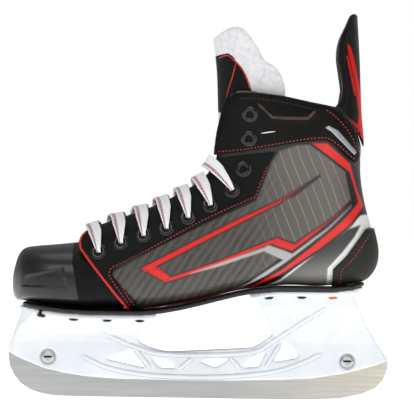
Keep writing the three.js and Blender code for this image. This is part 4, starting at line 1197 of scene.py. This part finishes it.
def centripetal(points, at):
    """A point of the smooth line through the points, with even speed between close ones."""
    i = min(len(points) - 2, int(at))
    t = at - i
    p1, p2 = points[i], points[i + 1]
    p0 = points[i - 1] if i > 0 else 2 * p1 - p2
    p3 = points[i + 2] if i + 2 < len(points) else 2 * p2 - p1
    d0, d1, d2 = (max(1e-4, np.linalg.norm(b - a)) ** 0.5 for a, b in ((p0, p1), (p1, p2), (p2, p3)))
    m1 = ((p1 - p0) / d0 - (p2 - p0) / (d0 + d1) + (p2 - p1) / d1) * d1
    m2 = ((p2 - p1) / d1 - (p3 - p1) / (d1 + d2) + (p3 - p2) / d2) * d1
    return p1 + m1 * t + (3 * p2 - 3 * p1 - 2 * m1 - m2) * t**2 + (2 * p1 - 2 * p2 + m1 + m2) * t**3


def make_lace(eyelets, steps=9, corners=14):
    there, back = lace_half(eyelets, -1), lace_half(eyelets, 1)[1:]
    stops = there[::-1] + back
    places = [s[0] for s in stops]
    rings, weave, travelled, before = [], [], 0.0, None
    for at in np.linspace(0, len(stops) - 1, (len(stops) - 1) * steps + 1):
        i = min(len(stops) - 2, int(at))
        look = lerp(stops[i][1], stops[i + 1][1], at - i)
        half = lerp(stops[i][2], stops[i + 1][2], at - i) / 2
        place = centripetal(places, at)
        later, sooner = min(len(stops) - 1, at + 0.01), max(0, at - 0.01)
        ahead = unit(centripetal(places, later) - centripetal(places, sooner))
        across = unit(np.cross(look, ahead))
        flat = unit(np.cross(ahead, across))
        travelled += 0 if before is None else np.linalg.norm(place - before)
        before = place
        ring = []
        for k in range(corners):
            turn = 2 * math.pi * k / corners
            a = math.copysign(abs(math.cos(turn)) ** 0.5, math.cos(turn))
            b = math.copysign(abs(math.sin(turn)) ** 0.8, math.sin(turn))
            ring.append(place + across * a * half + flat * b * LACE_THICK / 2)
            weave.append((travelled, a * LACE_WIDE / 2, 0))
        rings.append(ring)
    piece = loft("flat_lace", rings)
    weave += [weave[0], weave[-1]]
    layer = piece.data.attributes.new("weave", "FLOAT_VECTOR", "POINT")
    layer.data.foreach_set("vector", np.array(weave, np.float32).ravel())
    piece.data.shade_smooth()
    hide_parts("lace")
    return piece


# ---------------------------------------------------------------- stitches and piping

class Skin:
    """The outermost surface of one side's pieces, found by looking in from that side."""

    def __init__(self, pieces, side):
        self.side = side
        self.trees = []
        for piece in pieces:
            work = bmesh.new()
            work.from_mesh(piece.data)
            self.trees.append(BVHTree.FromBMesh(work))
            work.free()

    def at(self, x, z):
        start = Vector((x * MM, self.side * WIDE * 1.5 * MM, z * MM))
        hits = [tree.ray_cast(start, Vector((0, -self.side, 0))) for tree in self.trees]
        hits = [(hit[3], hit[0], hit[1]) for hit in hits if hit[0] is not None]
        if not hits:
            return None
        _, place, normal = min(hits, key=lambda hit: hit[0])
        if normal.y * self.side < 0:
            normal = -normal
        return np.array(place) / MM, np.array(normal)


def spaced(line, pitch, smoothly=True):
    """Points a pitch apart along a side-view line, each with its direction."""
    line = np.array(line, float)
    if smoothly:
        line = spline(line, np.linspace(0, len(line) - 1, (len(line) - 1) * 12 + 1))
    lengths = np.r_[0, np.cumsum(np.linalg.norm(np.diff(line, axis=0), axis=1))]
    marks = np.arange(0, lengths[-1] + 1e-6, pitch)
    return np.column_stack([np.interp(marks, lengths, line[:, k]) for k in (0, 1)])


def lay(skin, line, pitch, lift, smoothly=True):
    path = []
    for x, z in spaced(line, pitch, smoothly):
        hit = skin.at(x, z)
        if hit is not None:
            path.append((hit[0] + hit[1] * lift, hit[1]))
    return path


def stitch_row(name, skin, line, pitch=2.6, length=1.7, radius=0.38, lift=0.1, smoothly=True):
    parts = []
    path = lay(skin, line, pitch, lift, smoothly)
    for (place, out), (following, _) in zip(path, path[1:]):
        if np.linalg.norm(following - place) > 2.5 * pitch:
            continue
        ahead = unit(following - place)
        beside = unit(np.cross(ahead, out))
        rings = []
        for t in np.linspace(-1, 1, 7):
            size = radius * math.sqrt(max(0.02, 1 - t**4))
            sink = -radius * 0.7 * t * t
            centre = place + ahead * t * length / 2 + out * sink
            rings.append([centre + (beside * math.cos(a) + out * math.sin(a)) * size
                          for a in np.linspace(0, 2 * math.pi, 8, endpoint=False)])
        rings = np.array(rings)
        faces = [[i * 8 + j, i * 8 + (j + 1) % 8, (i + 1) * 8 + (j + 1) % 8, (i + 1) * 8 + j]
                 for i in range(6) for j in range(8)]
        faces += [list(range(7, -1, -1)), list(range(48, 56))]
        parts.append((rings.reshape(-1, 3), faces))
    piece = joined(name, parts)
    piece.data.shade_smooth()
    return piece


def cord_along(name, path, radius, corners=10, flat=1.0):
    """A tube through (place, out) points; flat below 1 presses it onto the surface."""
    places = np.array([p for p, _ in path])
    rings = []
    for i, (place, out) in enumerate(path):
        ahead = unit(places[min(i + 1, len(path) - 1)] - places[max(0, i - 1)])
        beside = unit(np.cross(ahead, out))
        lift = unit(np.cross(beside, ahead))
        end = min(1.0, 0.35 + 0.65 * min(i, len(path) - 1 - i) / 2)
        rings.append([place + (beside * math.cos(a) + lift * math.sin(a) * flat) * radius * end
                      for a in np.linspace(0, 2 * math.pi, corners, endpoint=False)])
    piece = loft(name, rings)
    piece.data.shade_smooth()
    return piece


# ---------------------------------------------------------------- padding

def puffed(piece, swell, pressure=4.0, shrink=0.6, voxel=4.5):
    """Lets a padded piece swell under its cover, with no point moving further than swell."""
    start = piece.data.copy()
    inwards = np.zeros(len(start.vertices) * 3)
    start.vertices.foreach_get("normal", inwards)
    flat = np.zeros(len(start.vertices) * 3)
    start.vertices.foreach_get("co", flat)
    work = bpy.data.objects.new("padding_work", start)
    bpy.context.scene.collection.objects.link(work)
    start.vertices.foreach_set("co", flat - inwards * shrink * MM)
    remesh = work.modifiers.new("remesh", "REMESH")
    remesh.mode = "VOXEL"
    remesh.voxel_size = voxel * MM
    bake(work)
    rest = np.array([v.co for v in work.data.vertices])
    cloth = work.modifiers.new("cloth", "CLOTH")
    cloth.settings.use_pressure = True
    cloth.settings.uniform_pressure_force = pressure
    cloth.settings.effector_weights.gravity = 0
    scene = bpy.context.scene
    for number in range(1, 21):
        scene.frame_set(number)
    graph = bpy.context.evaluated_depsgraph_get()
    blown = work.evaluated_get(graph).to_mesh()
    moved = np.array([v.co for v in blown.vertices]) - rest
    length = np.linalg.norm(moved, axis=1, keepdims=True)
    moved *= np.minimum(1, swell * MM / np.maximum(length, 1e-9))
    work.modifiers.clear()
    tree = BVHTree.FromPolygons([tuple(p) for p in rest], [tuple(p.vertices) for p in work.data.polygons])
    polygons = [tuple(p.vertices) for p in work.data.polygons]
    points = flat.reshape(-1, 3)
    carried = np.zeros_like(points)
    for i, point in enumerate(points):
        _, _, face, _ = tree.find_nearest(Vector(point))
        ring = list(polygons[face])
        weight = 1 / (np.linalg.norm(rest[ring] - point, axis=1) + 1e-5)
        carried[i] = (moved[ring] * weight[:, None]).sum(0) / weight.sum()
    piece.data.vertices.foreach_set("co", (points + carried).ravel())
    piece.data.update()
    scene.frame_set(1)
    bpy.data.objects.remove(work)
    return piece


# ---------------------------------------------------------------- runner, holder and metal pieces

def soft_node(node, voxel, rounds):
    """A carried-over CAD node with its moulded edges rounded by modifiers."""
    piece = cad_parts[node]
    remesh = piece.modifiers.new("remesh", "REMESH")
    remesh.mode = "VOXEL"
    remesh.voxel_size = voxel * MM
    remesh.use_smooth_shade = True
    relax = piece.modifiers.new("relax", "SMOOTH")
    relax.factor = 0.5
    relax.iterations = rounds
    return piece


def edged_node(node, width, segments=2, above=30):
    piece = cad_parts[node]
    bevel = piece.modifiers.new("edges", "BEVEL")
    bevel.width = width * MM
    bevel.segments = segments
    bevel.limit_method = "ANGLE"
    bevel.angle_limit = math.radians(above)
    return piece


# ---------------------------------------------------------------- put together

def ride(piece, body=ROOT, finish=None):
    if finish:
        give(piece, finish)
    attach(piece, body)
    return piece


FACING_STITCH = [
    [-51, 69], [-58, 79], [-65, 89], [-65.8, 93], [-63, 96.8], [-53, 101.8], [-32, 113], [3.5, 132.6],
    [35, 147.4], [39.5, 150], [43, 159], [49, 174],
]
FACING_EDGE_STITCH = [[-48, 69.5], [-54, 78.2], [-60, 87]]
CUFF_STITCH = [
    [13, 182], [29, 183.6], [49, 187], [69, 190.8], [84, 192.8], [92.6, 192.4], [99.6, 188],
    [109.5, 179.6], [114, 177.6],
]
CUFF_TOP_STITCH = [[28, 220.6], [38.5, 220.8], [58, 218.4], [79, 214.2], [88, 212]]
CUFF_REAR_STITCH = [[91, 213], [97, 208.8], [104, 201.8], [110, 193.5], [112.6, 187], [113, 182]]
COLLAR_BINDING = [
    [20, 222.6], [28, 223.6], [38.5, 223.6], [58.7, 221.3], [79, 217.1], [93.5, 214.2], [104.4, 205.6],
    [111.6, 196], [114, 188],
]
HEEL_STITCH = [[103, 80], [103.4, 94.5], [105.5, 98.5], [112.6, 105.8], [120.8, 118], [126.5, 126]]
CUFF_BAR = [[89.4, 200.4], [92.1, 202.2], [99.3, 198.7], [113.6, 183.4], [111.8, 180.8], [93.9, 197.7]]
CUFF_LINE = [[43, 195.6], [48, 196.4], [54, 197.2]]
# Painted highlight: the brownish line of light along the bottom and sloping sides of the cuff's embossed
# panel.
CUFF_PRESS_HIGHLIGHT = [[40, 217.4], [51, 207.2], [64, 206.8], [77, 207], [83, 213.3]]
ARCH_LINE_RISE = 1.6
ARCH_LINE = [[x, float(sole_line(x)) + SOLE_TOP + ARCH_LINE_RISE] for x in range(-44, 48, 4)]
GUARD_ROLL = [[103.6, 213], [104.4, 221], [105, 230], [103.4, 241], [101.6, 254], [103, 265.5], [107.6, 276]]
PIPING_START, PIPING_END, PIPING_SHIFT = [-83.8, 121.8], [-51.5, 64.5], 1.3
COVER_LINES = {
    "cover_edge_piping": [
        [11.4, 251], [17.4, 253], [21, 250.8], [28.2, 243.4], [32.4, 235.2], [34.6, 227.5], [35, 215],
    ],
    "cover_front_piping": [[24, 247], [22, 238], [18.6, 226], [16.4, 213]],
}

HOLDER_RIBS = {
    "upper_chord": [
        [-72, 47.5], [-59, 42], [-46, 37], [-28.5, 32.4], [4, 32], [39.5, 34.6], [54.5, 42.7],
        [80.5, 60], [95, 69],
    ],
    "lower_chord": [[-87, 30.5], [-66, 21.5], [-34, 16.5], [13, 16], [53, 20], [75.5, 27], [92, 35]],
    "brace_1": [[-48, 37], [-34, 20]],
    "brace_2": [[-15, 21], [-2.5, 31]],
    "brace_3": [[22.5, 31], [32, 21]],
    "brace_4": [[49, 22.5], [61, 43]],
}
SLOT_LONG, SLOT_WIDE, SLOT_PROUD = 6.0, 1.3, 0.12


def make_holder_ribs(side_name, plastic, shade):
    skin = Skin([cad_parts["holder"]], SIDES[side_name])
    for name, line in HOLDER_RIBS.items():
        path = lay(skin, line, 1.6, -0.15)
        if len(path) < 4:
            continue
        # Painted shade: a grey-blue band, wider than the rib, peeks out along both sides of each rib where
        # its edges would shade the holder.
        ride(cord_along(f"rib_shade_{name}_{side_name}", path, 2.2, 12, 0.16), ROOT, shade)
        ride(cord_along(f"rib_{name}_{side_name}", path, 1.5, 12, 0.45), ROOT, plastic)


# Painted shade: each screw head's slot is a dark metal bar laid a little proud of the head, standing in for
# the shaded hollow; the head itself is not cut.
def make_slot_shade(end, finish):
    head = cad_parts[f"blade_screw_{end}"]
    corners = np.array([head.matrix_world @ v.co for v in head.data.vertices]) / MM
    (x, _, z), low = (corners.min(0) + corners.max(0)) / 2, corners[:, 1].min()
    outline = [[x - SLOT_LONG / 2, z - SLOT_WIDE / 2], [x + SLOT_LONG / 2, z - SLOT_WIDE / 2],
               [x + SLOT_LONG / 2, z + SLOT_WIDE / 2], [x - SLOT_LONG / 2, z + SLOT_WIDE / 2]]
    piece = across_y(outline, low - SLOT_PROUD, low + 0.4)
    piece.name = f"screw_slot_shade_{end}"
    ride(piece, f"screw_{end}", finish)


class Looks:
    """The materials that more than one part of the skate uses."""

    def __init__(self):
        self.plastic, self.steel, self.bright = white_plastic(), ground_steel(), bright_steel()
        # Dark metal of the rivets; the same finish paints the shade in the screw slots.
        self.dark_metal_and_slot_shade = bright_steel("dark_rivet", (52, 50, 50))
        self.copper = bright_steel("copper_rivet", (196, 118, 72))
        self.black = leather("black_leather", (14, 15, 15), 0.5)
        self.cuff_leather = leather("cuff_leather", (13, 12, 11), 0.46, 0.14)
        self.patch = leather("heel_patch_leather", (38, 38, 34), 0.55, 0.16, 0.0, 1.3)
        # A brown leather that paints the highlight along the cuff emboss.
        self.painted_highlight_brown = leather("painted_highlight_leather", (70, 56, 47), 0.5)
        self.guard_leather = painted_leather("guard_leather")
        self.piping_red = satin_strip("piping_red", (206, 40, 30))
        self.silver = satin_strip("silver_strip", (168, 172, 178), 0.6, 0.3)
        self.red_thread = thread_finish("red_thread", (196, 46, 44))
        self.dark_thread = thread_finish("dark_thread", (14, 14, 15))
        self.gloss = leather("eyelet_gloss", (7, 7, 8), 0.2, 0.02, 0.7)
        self.print_finish = printed_panel()
        self.white_felt = felt("white_felt", (246, 246, 247), (204, 204, 210))
        self.padding = felt("dark_padding", (42, 38, 35), (26, 24, 23), 0.25)
        self.net = mesh_lining()


def finish_metal_and_plastic(looks):
    """Gives the carried-over CAD nodes rounded edges and their materials."""
    give(soft_node("holder", 0.8, 4), looks.plastic)
    give(edged_node("runner", 0.5), looks.steel)
    # A pale grey-blue plastic that paints the shade along the holder ribs.
    shade = satin_strip("painted_rib_shade_plastic", (200, 207, 217), 0.0, 0.5)
    for side_name in SIDES:
        make_holder_ribs(side_name, looks.plastic, shade)
    for end in ("front", "rear"):
        make_slot_shade(end, looks.dark_metal_and_slot_shade)
        give(edged_node(f"blade_screw_{end}", 0.25), looks.bright)
        give(edged_node(f"blade_screw_nut_{end}", 0.25), looks.bright)
    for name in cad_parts:
        if name.startswith("rivet_"):
            last_rear = "rear" in name and name.endswith("lateral_3")
            give(edged_node(name, 0.3), looks.copper if last_rear else looks.dark_metal_and_slot_shade)
    give(soft_node("outsole", 0.8, 3), outsole_finish())
    give(soft_node("footbed", 1.0, 4), looks.net)


def add_stitching(side_name, skin, looks):
    rows = {
        "facing_stitching": (FACING_STITCH, looks.red_thread),
        "facing_edge_stitching": (FACING_EDGE_STITCH, looks.red_thread),
        "cuff_stitching": (CUFF_STITCH, looks.red_thread),
        "heel_stitching": (HEEL_STITCH, looks.red_thread),
        "collar_stitching": (CUFF_TOP_STITCH, looks.dark_thread),
        "cuff_rear_stitching": (CUFF_REAR_STITCH, looks.red_thread),
    }
    for name, (line, finish) in rows.items():
        ride(stitch_row(f"{name}_{side_name}", skin, line), ROOT, finish)


def add_side_trim(side_name, side, skin, looks):
    piping = [PIPING_START] + [[x - 0.2, z] for x, z, *_ in PIPING_LINE[1:-1]] + [PIPING_END]
    piping = [[x + PIPING_SHIFT, z] for x, z in piping]
    ride(cord_along(f"piping_{side_name}", lay(skin, piping, 1.2, 0.35), 0.95),
         ROOT, looks.piping_red)
    ride(cord_along(f"collar_binding_{side_name}", lay(skin, COLLAR_BINDING, 1.6, -0.4), 1.35, 12, 0.85),
         ROOT, looks.cuff_leather)
    bar = boot_sheet(f"cuff_bar_{side_name}", -0.5, 0.6, side)
    cut(bar, across_y(CUFF_BAR))
    soften(bar, 0.45, 2)
    ride(bar, ROOT, looks.silver)
    ride(cord_along(f"cuff_line_{side_name}", lay(skin, CUFF_LINE, 1.5, 0.05), 0.45, 8, 0.6),
         ROOT, looks.white_felt)
    # Painted highlight: a flat brown cord along the cuff emboss stands for the light caught on its edge.
    press = lay(skin, CUFF_PRESS_HIGHLIGHT, 1.5, -0.1, False)
    ride(cord_along(f"cuff_press_{side_name}", press, 1.1, 10, 0.35), ROOT, looks.painted_highlight_brown)
    ride(cord_along(f"arch_line_{side_name}", lay(skin, ARCH_LINE, 1.5, 0.0), 0.45, 8, 0.6),
         ROOT, looks.piping_red)


def assemble_boot(looks):
    ride(make_toe_cap(), ROOT, toe_gloss())
    ride(make_vamp(), ROOT, looks.black)
    ride(puffed(make_liner(), 0.8), ROOT, looks.net)
    overlays = {
        "facing": (FACING_REGION, 0.0, looks.black), "cuff": (CUFF_REGION, cuff_relief, looks.cuff_leather),
        "heel_patch": (HEEL_PATCH_REGION, 0.0, looks.patch),
    }
    for side_name, side in SIDES.items():
        layers = [ride(make_quarter(side_name), ROOT, looks.print_finish)]
        for kind, (region, outer, finish) in overlays.items():
            layers.append(ride(make_overlay(kind, region, side_name, outer), ROOT, finish))
        skin = Skin(layers, side)
        add_stitching(side_name, skin, looks)
        add_side_trim(side_name, side, skin, looks)


def assemble_guard(looks):
    guard = make_guard()
    ride(guard["guard_shell"], "guard", looks.guard_leather)
    for side_name, side in SIDES.items():
        roll = lay(Skin([guard["guard_shell"]], side), GUARD_ROLL, 1.5, -1.2)
        ride(cord_along(f"guard_roll_{side_name}", roll, 2.2, 14, 0.8), "guard",
             looks.cuff_leather)
    ride(puffed(guard["guard_padding"], 1.2), "guard", looks.padding)


def assemble_tongue(looks):
    felt_part, cover = make_tongue()
    ride(puffed(felt_part, 1.6), "tongue", looks.white_felt)
    ride(cover, "tongue", looks.black)
    for side_name, side in SIDES.items():
        skin = Skin([cover], side)
        for name, line in COVER_LINES.items():
            ride(cord_along(f"{name}_{side_name}", lay(skin, line, 1.2, 0.1), 0.55), "tongue",
                 looks.piping_red)
    ride(puffed(make_lower_tongue(), 1.0), ROOT, looks.padding)


def assemble_lacing(looks):
    eyelets = find_eyelets()
    for eyelet in eyelets:
        ride(make_eyelet(eyelet), ROOT, looks.gloss)
    ride(make_lace(eyelets), ROOT, lace_finish())


def assemble():
    looks = Looks()
    finish_metal_and_plastic(looks)
    assemble_boot(looks)
    assemble_guard(looks)
    assemble_tongue(looks)
    assemble_lacing(looks)


def make_stage():
    signs = ((-1, -1), (1, -1), (1, 1), (-1, 1))
    corners = [(x * FLOOR_HALF, y * FLOOR_HALF, -FLOOR_DROP) for x, y in signs]
    piece = add_mesh("studio_floor", corners, [[0, 1, 2, 3]])
    give(piece, floor_finish())


make_camera()
make_world()
for light, settings in LIGHTS.items():
    make_light(light, *settings)
make_stage()
assemble()
